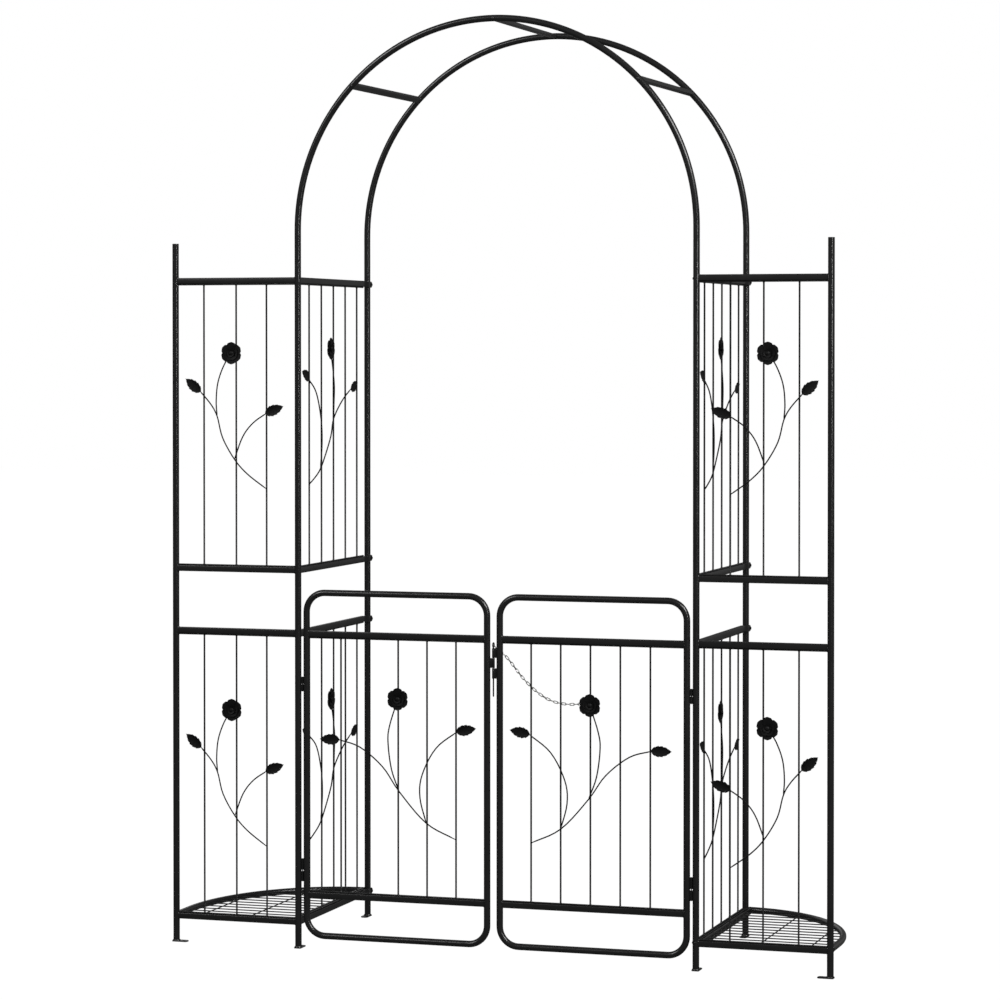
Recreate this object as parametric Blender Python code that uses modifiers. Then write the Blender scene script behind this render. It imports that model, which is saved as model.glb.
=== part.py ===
"""Walk-through metal garden arch: two L-shaped trellis sections joined by a double hoop,
a pair of swinging gates between them, and a quarter-round planter shelf in each corner.

Axes: +X to the right, +Y to the rear, +Z up. The origin is on the ground in the middle of
the arch. Every length is in metres.
"""
import math

import bmesh
import bpy
from mathutils import Vector

# Overall layout
POST_X = 0.5055          # inner posts, from the middle of the arch
OUTER_X = 0.831          # outer posts, from the middle of the arch
DEPTH = 0.500            # front post line to rear post line
POST_TOP = 1.740         # top of every post
JOINT_FRONT = 0.893      # where a front post is jointed
JOINT_REAR = 0.870       # where a rear post is jointed

# Tubes and wires
TUBE_R = 0.008           # posts, hoops, gate frames and shelf rims
BORE_R = 0.0068          # inside of a post
SPIGOT_R = 0.0065        # swaged end that plugs into the next tube
SPIGOT_BORE_R = 0.0055
SPIGOT_LENGTH = 0.040
WIRE_R = 0.002           # upright wires of the panels
STEM_R = 0.0015          # stems of the sprays
GAP = 0.0003             # clearance between touching pieces

# Rails
RAIL_HEIGHT = 0.018
RAIL_DEPTH = 0.010
TOP_RAIL_Z = 1.6455
UPPER_MIDDLE_Z = 0.935
LOWER_MIDDLE_Z = 0.777
BOTTOM_RAIL_Z = 0.067
FRONT_WIRES = (0.083, 0.1635, 0.2495)    # from the inner post
SIDE_WIRE_FIRST = 0.0771                 # from the inner front post
SIDE_WIRE_PITCH = 0.0857
SIDE_WIRE_COUNT = 5

# Feet
FOOT_THICKNESS = 0.003
FOOT_REACH = 0.0305
FOOT_HALF_WIDTH = 0.009
PEG_HOLE_R = 0.0035

# Hoops and slats
HOOP_LEG = 0.0307
HOOP_SPIGOT = 0.024
SLAT_ANGLE = math.radians(44)
SLAT_WIDTH = 0.014
SLAT_THICKNESS = 0.008

# Gates
GATE_INNER = 0.0081      # meeting edge of a leaf, from the middle
GATE_OUTER = 0.4910      # hinge edge of a leaf, from the middle
GATE_BOTTOM = 0.0257
GATE_TOP = 0.8870
GATE_CORNER_R = 0.047
GATE_UPPER_RAIL_Z = 0.7757
GATE_LOWER_RAIL_Z = 0.1357
GATE_WIRE_FIRST = 0.0955
GATE_WIRE_PITCH = 0.0744
GATE_WIRE_COUNT = 5

# Hinges: the axis stands midway between post and leaf
HINGE_X = (POST_X - TUBE_R + GATE_OUTER) / 2
BARREL_R = 0.00295
BARREL_BORE_R = 0.0018
HINGE_PIN_R = 0.0015
HINGES = (               # name, post barrel bottom and top, leaf barrel bottom and top
    ("top", 0.6350, 0.6525, 0.6535, 0.6710),
    ("bottom", 0.1660, 0.1910, 0.1945, 0.2225),
)

# Latch
KNUCKLE_R = 0.0035
KNUCKLE_BORE_R = 0.0021
KNUCKLES = {
    "right_latch_knuckle_upper": (0.7312, 0.7545),
    "left_latch_knuckle": (0.7068, 0.7304),
    "right_latch_knuckle_lower": (0.6810, 0.7060),
}
PIN_R = 0.0018
PIN_BOTTOM = 0.6365
RING_CENTRE_Z = 0.7620
RING_R = 0.0055
RING_WIRE_R = 0.0016
CHAIN_R = 0.0035

# Shelves
RIM_STRAIGHT = 0.090     # the rim runs straight back from the outer post this far
SHELF_BAR = 0.005        # thickness of the two flat bars under the panels
SHELF_BAR_FRONT = 0.0088 # front bar, behind the post line
SHELF_BAR_SIDE = 0.0120  # side bar, from the inner post line
SHELF_WIRE = 0.003
SHELF_WIRE_FIRST = 0.035
SHELF_WIRE_PITCH = 0.038
SHELF_WIRE_COUNT = 12
CROSS_WIRES = (0.528, 0.651, 0.774)

# Sprays: leaf and flower sizes
LEAF_LENGTH = 0.046
LEAF_WIDTH = 0.021
LEAF_THICKNESS = 0.0014
FLOWER_R = 0.027
FLOWER_FRONT = 0.012     # how far a flower stands proud of its wires' middle
FLOWER_BACK = 0.0026

# The front post line, which centres the whole object on the origin
FRONT_Y = -(DEPTH + FOOT_HALF_WIDTH - FLOWER_FRONT) / 2
REAR_Y = FRONT_Y + DEPTH

SIDES = {"left": -1, "right": 1}


def clear_scene():
    for thing in list(bpy.data.objects):
        bpy.data.objects.remove(thing, do_unlink=True)


def painted_metal(name, colour, roughness, metallic):
    material = bpy.data.materials.new(name)
    material.use_nodes = True
    shader = material.node_tree.nodes["Principled BSDF"]
    shader.inputs["Base Color"].default_value = (*colour, 1.0)
    shader.inputs["Roughness"].default_value = roughness
    shader.inputs["Metallic"].default_value = metallic
    return material


clear_scene()
ARCH = bpy.data.collections.new("metal_trellis_arch")
bpy.context.scene.collection.children.link(ARCH)
TUBE_PAINT = painted_metal("black_tube_paint", (0.018, 0.018, 0.018), 0.38, 0.25)
RAIL_PAINT = painted_metal("black_rail_paint", (0.021, 0.021, 0.021), 0.42, 0.25)
WIRE_PAINT = painted_metal("black_wire_paint", (0.024, 0.024, 0.024), 0.45, 0.25)
SPRAY_PAINT = painted_metal("matt_black_spray_paint", (0.008, 0.008, 0.008), 0.65, 0.15)
BARE_STEEL = painted_metal("zinc_plated_steel", (0.60, 0.60, 0.58), 0.30, 0.95)


# ---------------------------------------------------------------- making and joining shapes

def shape_from_mesh(mesh):
    shape = bpy.data.objects.new("shape", mesh)
    ARCH.objects.link(shape)
    return shape


def bake(shape):
    """The shape with its modifiers or its bevel turned into one clean mesh."""
    bpy.context.view_layer.update()
    evaluated = shape.evaluated_get(bpy.context.evaluated_depsgraph_get())
    mesh = bpy.data.meshes.new_from_object(evaluated)
    mesh.transform(shape.matrix_world)
    builder = bmesh.new()
    builder.from_mesh(mesh)
    bmesh.ops.remove_doubles(builder, verts=builder.verts, dist=0.00001)
    bmesh.ops.recalc_face_normals(builder, faces=builder.faces)
    builder.to_mesh(mesh)
    builder.free()
    bpy.data.objects.remove(shape, do_unlink=True)
    return shape_from_mesh(mesh)


def group(shapes):
    """Several shapes that don't meet, as one mesh for a single Boolean step."""
    builder = bmesh.new()
    for shape in shapes:
        builder.from_mesh(shape.data)
        bpy.data.objects.remove(shape, do_unlink=True)
    mesh = bpy.data.meshes.new("group")
    builder.to_mesh(mesh)
    builder.free()
    return shape_from_mesh(mesh)


def combine(first, other, operation="UNION"):
    """One solid from two shapes."""
    boolean = first.modifiers.new(operation.lower(), "BOOLEAN")
    boolean.operation = operation
    boolean.solver = "EXACT"
    boolean.object = other
    solid = bake(first)
    bpy.data.objects.remove(other, do_unlink=True)
    return solid


def tube(path, radius, bevel_resolution=4, closed=False):
    curve = bpy.data.curves.new("tube", "CURVE")
    curve.dimensions = "3D"
    curve.bevel_depth = radius
    curve.bevel_resolution = bevel_resolution
    curve.use_fill_caps = not closed
    spline = curve.splines.new("POLY")
    spline.points.add(len(path) - 1)
    for point, place in zip(spline.points, path):
        point.co = (*place, 1.0)
    spline.use_cyclic_u = closed
    return bake(shape_from_mesh(curve))


def plate(outline, thickness, hole=()):
    """A flat plate from an outline in X and Y, centred on Z = 0, with one hole if given."""
    curve = bpy.data.curves.new("plate", "CURVE")
    curve.dimensions = "2D"
    curve.fill_mode = "BOTH"
    curve.extrude = thickness / 2
    for ring in (outline, hole):
        if ring:
            spline = curve.splines.new("POLY")
            spline.points.add(len(ring) - 1)
            for point, (x, y) in zip(spline.points, ring):
                point.co = (x, y, 0.0, 1.0)
            spline.use_cyclic_u = True
    return bake(shape_from_mesh(curve))


def turned(profile, place=(0, 0, 0), steps=12, closed_profile=False):
    """A profile of (radius, height) pairs, turned about a vertical axis through place."""
    mesh = bpy.data.meshes.new("turned")
    count = len(profile)
    edges = [(i, i + 1) for i in range(count - 1)]
    if closed_profile:
        edges.append((count - 1, 0))
    mesh.from_pydata([(radius, 0, height) for radius, height in profile], edges, [])
    shape = shape_from_mesh(mesh)
    screw = shape.modifiers.new("turn", "SCREW")
    screw.steps = steps
    screw.render_steps = steps
    screw.use_merge_vertices = True
    screw.merge_threshold = 0.00001
    shape.location = place
    return bake(shape)


def cylinder(place, radius, length, axis=(0, 0, 1), sides=16):
    """A cylinder centred on place, along axis."""
    bpy.ops.mesh.primitive_cylinder_add(vertices=sides, radius=radius, depth=length, location=place)
    shape = bpy.context.object
    shape.rotation_mode = "QUATERNION"
    shape.rotation_quaternion = Vector((0, 0, 1)).rotation_difference(Vector(axis))
    return bake(shape)


def box(low, high):
    low = Vector(low)
    high = Vector(high)
    bpy.ops.mesh.primitive_cube_add(size=1, location=(low + high) / 2)
    shape = bpy.context.object
    shape.scale = [abs(length) for length in high - low]
    return bake(shape)


def lofted_bar(sections):
    """A bar along Y from (y, lowest x, highest x, lowest z, highest z) sections."""
    builder = bmesh.new()
    rings = []
    for y, x_low, x_high, z_low, z_high in sections:
        corners = ((x_low, z_low), (x_high, z_low), (x_high, z_high), (x_low, z_high))
        rings.append([builder.verts.new((x, y, z)) for x, z in corners])
    for near, far in zip(rings, rings[1:]):
        for i in range(4):
            j = (i + 1) % 4
            builder.faces.new((near[i], near[j], far[j], far[i]))
    builder.faces.new(rings[0])
    builder.faces.new(rings[-1])
    bmesh.ops.recalc_face_normals(builder, faces=builder.faces)
    mesh = bpy.data.meshes.new("bar")
    builder.to_mesh(mesh)
    builder.free()
    return shape_from_mesh(mesh)


def smooth_path(points, per_span=2):
    """Points on a smooth curve that passes through the given ones."""
    places = [Vector(point) for point in points]
    places = [2 * places[0] - places[1], *places, 2 * places[-1] - places[-2]]
    path = []
    for a, b, c, d in zip(places, places[1:], places[2:], places[3:]):
        for step in range(per_span):
            t = step / per_span
            path.append(0.5 * (2 * b + (c - a) * t + (2 * a - 5 * b + 4 * c - d) * t ** 2
                               + (3 * b - a - 3 * c + d) * t ** 3))
    path.append(places[-2])
    return path


def finish(shape, name, material, origin=(0, 0, 0), parent=None):
    """Names the shape, paints it, shades it and gives it its origin and parent."""
    shape.name = name
    shape.data.name = name
    shape.data.materials.clear()
    shape.data.materials.append(material)
    shape.data.shade_smooth()
    shape.data.set_sharp_from_angle(angle=math.radians(35))
    origin = Vector(origin)
    for vertex in shape.data.vertices:
        vertex.co -= origin
    if parent is None:
        shape.location = origin
    else:
        shape.parent = parent
        shape.location = origin - parent.location
    return shape


def pivot(name, place):
    empty = bpy.data.objects.new(name, None)
    ARCH.objects.link(empty)
    empty.location = place
    return empty


# ---------------------------------------------------------------- posts

def lower_post(name, x, y, joint_z, foot_direction):
    """The lower tube with its foot plate, whose tab carries a peg hole, welded under it."""
    tube_profile = [
        (TUBE_R, joint_z),
        (TUBE_R, FOOT_THICKNESS * 0.8),
        (BORE_R, FOOT_THICKNESS * 0.8),
        (BORE_R, joint_z),
    ]
    post = turned(tube_profile, closed_profile=True)
    tip = FOOT_REACH
    half = FOOT_HALF_WIDTH
    chamfer = 0.004
    outline = [
        (-half, -half),
        (tip - chamfer, -half),
        (tip, -half + chamfer),
        (tip, half - chamfer),
        (tip - chamfer, half),
        (-half, half),
    ]
    turns = [2 * math.pi * i / 12 for i in range(12)]
    hole_x = (TUBE_R + tip) / 2
    hole = [(hole_x + PEG_HOLE_R * math.cos(t), PEG_HOLE_R * math.sin(t)) for t in turns]
    foot = plate(outline, FOOT_THICKNESS, hole)
    foot.location = (0, 0, FOOT_THICKNESS / 2)
    foot.rotation_euler = (0, 0, foot_direction)
    foot = bake(foot)
    post = combine(post, foot)
    post = finish(post, name, TUBE_PAINT)
    post.location = (x, y, 0)
    return post


def upper_post(name, x, y, joint_z):
    """The upper tube, swaged at its lower end to plug into the lower one."""
    shoulder = joint_z + GAP
    profile = [
        (TUBE_R, POST_TOP),
        (TUBE_R, shoulder + 0.0008),
        (SPIGOT_R, shoulder),
        (SPIGOT_R, joint_z - SPIGOT_LENGTH),
        (SPIGOT_BORE_R, joint_z - SPIGOT_LENGTH),
        (SPIGOT_BORE_R, shoulder),
        (BORE_R, shoulder + 0.003),
        (BORE_R, POST_TOP),
    ]
    post = finish(turned(profile, closed_profile=True), name, TUBE_PAINT)
    post.location = (x, y, 0)
    return post


def make_posts():
    for side, sign in SIDES.items():
        inward = math.pi if sign > 0 else 0.0
        rear = math.pi / 2
        places = (
            ("outer", sign * OUTER_X, FRONT_Y, JOINT_FRONT, inward),
            ("inner_front", sign * POST_X, FRONT_Y, JOINT_FRONT, rear),
            ("inner_rear", sign * POST_X, REAR_Y, JOINT_REAR, -rear),
        )
        for place, x, y, joint_z, direction in places:
            lower_post(f"{side}_{place}_post_lower", x, y, joint_z, direction)
            upper_post(f"{side}_{place}_post_upper", x, y, joint_z)


# ---------------------------------------------------------------- hoops and slats

def hoop_point(angle, radius=POST_X):
    """A point of the hoop's centre line, from its middle: angle 0 is the right-hand side."""
    return Vector((radius * math.cos(angle), 0, POST_TOP + HOOP_LEG + radius * math.sin(angle)))


def hoop_half(name, sign, y, has_spigot):
    """A quarter-circle tube with a short leg, plugged into the post and into its twin."""
    apex = hoop_point(math.pi / 2)
    path = [Vector((GAP / 2, 0, apex.z)), Vector((0.006, 0, apex.z))]
    path += [hoop_point(math.pi / 2 * (1 - step / 12)) for step in range(1, 13)]
    path.append(Vector((POST_X, 0, POST_TOP + GAP)))
    half = tube(path, TUBE_R)
    leg_spigot = cylinder((POST_X, 0, POST_TOP - SPIGOT_LENGTH / 2 + 0.002), SPIGOT_R,
                          SPIGOT_LENGTH + 0.004, sides=12)
    half = combine(half, leg_spigot)
    if has_spigot:
        plug_start = Vector((0.003, 0, apex.z))
        plug_end = Vector((-HOOP_SPIGOT, 0, apex.z - 0.0003))
        plug = tube([plug_start, plug_end], SPIGOT_R - 0.0005)
        half = combine(half, plug)
    else:
        socket = cylinder((0, 0, apex.z - 0.0002), SPIGOT_R, 2 * HOOP_SPIGOT + 0.004,
                          axis=(1, 0, 0), sides=12)
        half = combine(half, socket, "DIFFERENCE")
    if sign < 0:
        half.scale = (-1, 1, 1)
        half = bake(half)
    half = finish(half, name, TUBE_PAINT)
    half.location = (0, y, 0)
    return half


def slat(name, angle):
    """A flat bar between the hoops, its ends coped to fit round their tubes."""
    middle = hoop_point(angle)
    low = (-SLAT_THICKNESS / 2, FRONT_Y, -SLAT_WIDTH / 2)
    high = (SLAT_THICKNESS / 2, REAR_Y, SLAT_WIDTH / 2)
    bar = box(low, high)
    cutters = []
    for y in (FRONT_Y, REAR_Y):
        cutters.append(cylinder((0, y, 0), TUBE_R + GAP, 0.04))
    bar = combine(bar, group(cutters), "DIFFERENCE")
    bar = finish(bar, name, RAIL_PAINT)
    bar.location = middle
    bar.rotation_euler = (0, -angle, 0)
    return bar


def make_arch():
    for row, y in (("front", FRONT_Y), ("rear", REAR_Y)):
        hoop_half(f"{row}_hoop_left", -1, y, has_spigot=False)
        hoop_half(f"{row}_hoop_right", 1, y, has_spigot=True)
    slat("slat_right", SLAT_ANGLE)
    slat("slat_top", math.pi / 2)
    slat("slat_left", math.pi - SLAT_ANGLE)


# ---------------------------------------------------------------- trellis panels

def wires(positions, z_low, z_high, along):
    """Upright wires at positions along X or Y, running into the rails at both ends."""
    shapes = []
    for position in positions:
        x, y = (position, 0) if along == "x" else (0, position)
        middle = (x, y, (z_low + z_high) / 2)
        shapes.append(cylinder(middle, WIRE_R, z_high - z_low, sides=8))
    return group(shapes)


def coping_cutter(x, y, z_rails):
    """A cylinder a little fatter than a tube, to fit the rails' ends round it."""
    low, high = z_rails
    return cylinder((x, y, (low + high) / 2), TUBE_R + GAP, high - low + 0.05)


def front_panel(name, sign, z_rails):
    """Two rails, coped to the outer and the inner front post, with three wires between."""
    span = OUTER_X - POST_X
    rails = []
    for z in z_rails:
        low = (0, -RAIL_DEPTH / 2, z - RAIL_HEIGHT / 2)
        high = (sign * span, RAIL_DEPTH / 2, z + RAIL_HEIGHT / 2)
        rails.append(box(low, high))
    posts = [coping_cutter(x, 0, z_rails) for x in (0, sign * span)]
    panel = combine(group(rails), group(posts), "DIFFERENCE")
    positions = [sign * position for position in FRONT_WIRES]
    panel = combine(panel, wires(positions, *z_rails, "x"))
    panel = finish(panel, name, RAIL_PAINT)
    panel.location = (sign * POST_X, FRONT_Y, 0)
    return panel


def side_rail(z):
    """A rail whose rear end is flattened into a bolting lug."""
    half = RAIL_HEIGHT / 2
    lug_low = TUBE_R + GAP
    lug_high = lug_low + 0.003
    return lofted_bar([
        (0, -RAIL_DEPTH / 2, RAIL_DEPTH / 2, z - half, z + half),
        (DEPTH - 0.040, -RAIL_DEPTH / 2, RAIL_DEPTH / 2, z - half, z + half),
        (DEPTH - 0.014, lug_low, lug_high, z - 0.008, z + 0.008),
        (DEPTH + 0.003, lug_low, lug_high, z - 0.0075, z + 0.0075),
        (DEPTH + 0.007, lug_low, lug_high, z - 0.004, z + 0.004),
    ])


def side_panel(name, sign, z_rails):
    """Two rails, coped to the inner front post, with five wires between."""
    rails = group([side_rail(z) for z in z_rails])
    panel = combine(rails, coping_cutter(0, 0, z_rails), "DIFFERENCE")
    positions = [SIDE_WIRE_FIRST + SIDE_WIRE_PITCH * i for i in range(SIDE_WIRE_COUNT)]
    panel = combine(panel, wires(positions, *z_rails, "y"))
    panel = finish(panel, name, RAIL_PAINT)
    panel.location = (sign * POST_X, FRONT_Y, 0)
    return panel


def make_panels():
    levels = {
        "upper": (UPPER_MIDDLE_Z, TOP_RAIL_Z),
        "lower": (BOTTOM_RAIL_Z, LOWER_MIDDLE_Z),
    }
    for side, sign in SIDES.items():
        for level, z_rails in levels.items():
            front_panel(f"{side}_front_panel_{level}", sign, z_rails)
            side_panel(f"{side}_side_panel_{level}", sign, z_rails)


# ---------------------------------------------------------------- flower sprays

# Each spray is drawn flat, in (across, up) pairs. Panels: from the inner front post and the
# top of the upper middle rail. Gates: from the meeting edge and the lower rail.
FRONT_SPRAY = {
    "stems": (
        ((0.083, 0.189), (0.133, 0.225), (0.167, 0.261), (0.1985, 0.314), (0.2130, 0.367),
         (0.230, 0.397), (0.2585, 0.429)),
        ((0.1745, 0.5235), (0.195, 0.493), (0.2110, 0.450), (0.2155, 0.404), (0.2130, 0.367)),
        ((0.0825, 0.375), (0.118, 0.3505), (0.145, 0.3165), (0.167, 0.261)),
    ),
    "leaves": (((0.2585, 0.429), (0.2965, 0.460)), ((0.0825, 0.375), (0.0365, 0.393))),
    "flower": (0.1745, 0.5235),
}
SIDE_SPRAY = {
    "stems": (
        ((0.068, 0.198), (0.1345, 0.2266), (0.174, 0.2606), (0.220, 0.3143), (0.240, 0.358),
         (0.300, 0.4015), (0.365, 0.4314)),
        ((0.2163, 0.535), (0.2330, 0.490), (0.2452, 0.440), (0.2423, 0.394), (0.240, 0.358)),
        ((0.0617, 0.4606), (0.1176, 0.4241), (0.1514, 0.3558), (0.1571, 0.2958), (0.146, 0.2365)),
    ),
    "leaves": (((0.365, 0.4314), (0.4085, 0.446)), ((0.0617, 0.4606), (0.0190, 0.478))),
    "flower": (0.2163, 0.535),
}
GATE_SPRAY = {
    "stems": (
        ((0.0955, 0.1508), (0.171, 0.188), (0.2404, 0.262), (0.2834, 0.321), (0.342, 0.367),
         (0.398, 0.384)),
        ((0.244, 0.488), (0.265, 0.4235), (0.2695, 0.383), (0.2605, 0.316), (0.2404, 0.262)),
        ((0.091, 0.414), (0.146, 0.371), (0.1814, 0.305), (0.187, 0.250), (0.171, 0.188)),
    ),
    "leaves": (((0.398, 0.384), (0.4455, 0.384)), ((0.091, 0.414), (0.0455, 0.4225))),
    "flower": (0.244, 0.488),
}


def leaf_outline(base, tip):
    """A pointed oval from base to tip."""
    base = Vector(base)
    direction = (Vector(tip) - base).normalized()
    across = Vector((-direction.y, direction.x))
    half_widths = ((0.0, 0.12), (0.25, 0.85), (0.45, 1.0), (0.75, 0.6), (1.0, 0.08))
    edge = []
    for part, width in half_widths:
        edge.append((base + direction * part * LEAF_LENGTH, across * width * LEAF_WIDTH / 2))
    there = [middle - side for middle, side in edge]
    back = [middle + side for middle, side in reversed(edge)]
    return [tuple(point) for point in there + back]


def flower_outline(centre):
    """Six scalloped petals."""
    outline = []
    for i in range(18):
        turn = 2 * math.pi * i / 18
        radius = FLOWER_R * (0.92 + 0.08 * math.cos(6 * turn))
        outline.append((centre[0] + radius * math.cos(turn), centre[1] + radius * math.sin(turn)))
    return outline


def spray(name, drawing, place, facing, parent=None):
    """Three stems, two leaves and a flower in one weldment, upright in front of the wires.

    The flat drawing stands up with its face towards -Y, then turns about Z by facing. A
    negative across scale in place mirrors it.
    """
    across_scale, origin = place
    stem_depth = WIRE_R + GAP + STEM_R
    stems = []
    for stem in drawing["stems"]:
        path = smooth_path([(x, y, stem_depth) for x, y in stem])
        stems.append(tube(path, STEM_R, bevel_resolution=0))
    leaves = []
    for base, tip in drawing["leaves"]:
        leaf = plate(leaf_outline(base, tip), LEAF_THICKNESS)
        leaf.location = (0, 0, stem_depth)
        leaves.append(bake(leaf))
    flower = plate(flower_outline(drawing["flower"]), FLOWER_FRONT - FLOWER_BACK)
    flower.location = (0, 0, (FLOWER_FRONT + FLOWER_BACK) / 2)
    flower = bake(flower)
    whole = combine(stems[0], group(stems[1:]))
    whole = combine(whole, group([*leaves, flower]))
    whole.scale = (across_scale, 1, 1)
    whole = bake(whole)
    whole.rotation_euler = (math.pi / 2, 0, 0)
    whole = bake(whole)
    whole.rotation_euler = (0, 0, facing)
    whole = bake(whole)
    whole = finish(whole, name, SPRAY_PAINT)
    whole.location = origin
    if parent is not None:
        whole.parent = parent
        whole.location = Vector(origin) - parent.location
    return whole


def make_panel_sprays():
    upper_base = UPPER_MIDDLE_Z + RAIL_HEIGHT / 2
    lower_base = upper_base - (TOP_RAIL_Z - LOWER_MIDDLE_Z) - 0.016
    for side, sign in SIDES.items():
        for level, base in (("upper", upper_base), ("lower", lower_base)):
            origin = (sign * POST_X, FRONT_Y, base)
            spray(f"{side}_front_spray_{level}", FRONT_SPRAY, (sign, origin), 0.0)
            spray(f"{side}_side_spray_{level}", SIDE_SPRAY, (1, origin), math.pi / 2)


# ---------------------------------------------------------------- planter shelves

def rim_path(rim_end):
    """Centre line of the rim: straight back from the outer post, then a quarter ellipse."""
    across = OUTER_X - POST_X
    back = DEPTH - RIM_STRAIGHT
    path = [(across, SHELF_BAR_FRONT)]
    for step in range(14):
        turn = math.pi / 2 * step / 14
        path.append((across * math.cos(turn), RIM_STRAIGHT + back * math.sin(turn)))
    path += [(rim_end + 0.012, DEPTH), (rim_end, DEPTH)]
    return path


def clear_of_rim(path, start, direction):
    """How far a wire can run from start along direction before it meets the rim."""
    reach = TUBE_R + SHELF_WIRE / 2 + GAP
    samples = []
    for a, b in zip(path, path[1:]):
        for step in range(40):
            samples.append(Vector(a).lerp(Vector(b), step / 40))
    distance = 0.0
    step_length = 0.0002
    while min((start + direction * distance - sample).length for sample in samples) > reach:
        distance += step_length
    return distance - step_length


def shelf(side, sign):
    """Tube rim and two flat bars in one frame, and a grid of welded wires laid inside it."""
    lug_room = TUBE_R + GAP + (0.003 + GAP if sign > 0 else 0)
    path = rim_path(lug_room)
    z = BOTTOM_RAIL_Z
    rim = tube([(x, y, z) for x, y in path], TUBE_R)
    half_bar = 0.007
    front_bar = box((SHELF_BAR_SIDE, SHELF_BAR_FRONT, z - half_bar),
                    (OUTER_X - POST_X - 0.002, SHELF_BAR_FRONT + SHELF_BAR, z + half_bar))
    side_bar = box((SHELF_BAR_SIDE + 0.0001, SHELF_BAR_FRONT + 0.001, z - half_bar + 0.0005),
                   (SHELF_BAR_SIDE + SHELF_BAR, DEPTH - 0.003, z + half_bar - 0.0005))
    frame = combine(combine(rim, front_bar), side_bar)

    wire = SHELF_WIRE / 2
    start_x = SHELF_BAR_SIDE + SHELF_BAR + GAP
    start_y = SHELF_BAR_FRONT + SHELF_BAR + GAP
    rods = []
    for i in range(SHELF_WIRE_COUNT):
        y = SHELF_WIRE_FIRST + SHELF_WIRE_PITCH * i
        length = clear_of_rim(path, Vector((start_x, y)), Vector((1, 0)))
        rods.append(box((start_x, y - wire, z - wire), (start_x + length, y + wire, z + wire)))
    cross = []
    drop = SHELF_WIRE * 0.8
    for cross_x in CROSS_WIRES:
        x = cross_x - POST_X
        length = clear_of_rim(path, Vector((x, start_y)), Vector((0, 1)))
        cross.append(box((x - wire, start_y, z - wire - drop),
                         (x + wire, start_y + length, z + wire - drop)))
    grid = combine(group(cross), group(rods))

    for shape, name, paint in ((frame, "shelf_frame", TUBE_PAINT), (grid, "shelf_grid", WIRE_PAINT)):
        if sign < 0:
            shape.scale = (-1, 1, 1)
            shape = bake(shape)
        shape = finish(shape, f"{side}_{name}", paint)
        shape.location = (sign * POST_X, FRONT_Y, 0)


# ---------------------------------------------------------------- gates

def gate_frame_path(sign):
    """Centre line of a leaf's frame: a rectangle with round corners."""
    left = GATE_INNER + TUBE_R
    right = GATE_OUTER - TUBE_R
    bottom = GATE_BOTTOM + TUBE_R
    top = GATE_TOP - TUBE_R
    r = GATE_CORNER_R
    corners = (
        (right - r, top - r, 0.0),
        (left + r, top - r, 0.5),
        (left + r, bottom + r, 1.0),
        (right - r, bottom + r, 1.5),
    )
    path = []
    for x, z, start in corners:
        for step in range(6):
            turn = math.pi * (start + 0.5 * step / 5)
            path.append((sign * (x + r * math.cos(turn)), FRONT_Y, z + r * math.sin(turn)))
    return path


def gate(side, sign):
    """A leaf: bent tube frame, two rails with five wires between them, and its spray."""
    hinge = pivot(f"{side}_gate_pivot", (sign * HINGE_X, FRONT_Y, 0))
    frame = tube(gate_frame_path(sign), TUBE_R, closed=True)
    finish(frame, f"{side}_gate_frame", TUBE_PAINT, hinge.location, hinge)

    inner = sign * (GATE_INNER + TUBE_R)
    outer = sign * (GATE_OUTER - TUBE_R)
    z_rails = (GATE_LOWER_RAIL_Z, GATE_UPPER_RAIL_Z)
    rails = []
    for z in z_rails:
        low = (inner, FRONT_Y - RAIL_DEPTH / 2, z - RAIL_HEIGHT / 2)
        high = (outer, FRONT_Y + RAIL_DEPTH / 2, z + RAIL_HEIGHT / 2)
        rails.append(box(low, high))
    stiles = [coping_cutter(x, FRONT_Y, z_rails) for x in (inner, outer)]
    infill = combine(group(rails), group(stiles), "DIFFERENCE")
    middle_z = (GATE_LOWER_RAIL_Z + GATE_UPPER_RAIL_Z) / 2
    length = GATE_UPPER_RAIL_Z - GATE_LOWER_RAIL_Z
    uprights = []
    for i in range(GATE_WIRE_COUNT):
        x = sign * (GATE_WIRE_FIRST + GATE_WIRE_PITCH * i)
        uprights.append(cylinder((x, FRONT_Y, middle_z), WIRE_R, length, sides=8))
    infill = combine(infill, group(uprights))
    finish(infill, f"{side}_gate_infill", RAIL_PAINT, hinge.location, hinge)

    origin = (0, FRONT_Y, GATE_LOWER_RAIL_Z)
    spray(f"{side}_gate_spray", GATE_SPRAY, (sign, origin), 0.0, hinge)
    return hinge


def make_hinges(side, sign, leaf_pivot):
    """Post barrel with an upward pin, and the leaf's barrel that drops over it."""
    for name, post_low, post_high, leaf_low, leaf_high in HINGES:
        post_profile = [
            (0, leaf_high - 0.002),
            (HINGE_PIN_R, leaf_high - 0.002),
            (HINGE_PIN_R, post_high),
            (BARREL_R, post_high),
            (BARREL_R, post_low),
            (0, post_low),
        ]
        axis = (sign * HINGE_X, FRONT_Y, 0)
        post_part = turned(post_profile, axis, steps=12)
        finish(post_part, f"{side}_{name}_hinge_pintle", TUBE_PAINT, axis)
        leaf_profile = [
            (BARREL_R, leaf_high),
            (BARREL_R, leaf_low),
            (BARREL_BORE_R, leaf_low),
            (BARREL_BORE_R, leaf_high),
        ]
        leaf_part = turned(leaf_profile, axis, steps=12, closed_profile=True)
        finish(leaf_part, f"{side}_{name}_hinge_barrel", TUBE_PAINT, axis, leaf_pivot)


# ---------------------------------------------------------------- latch

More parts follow.
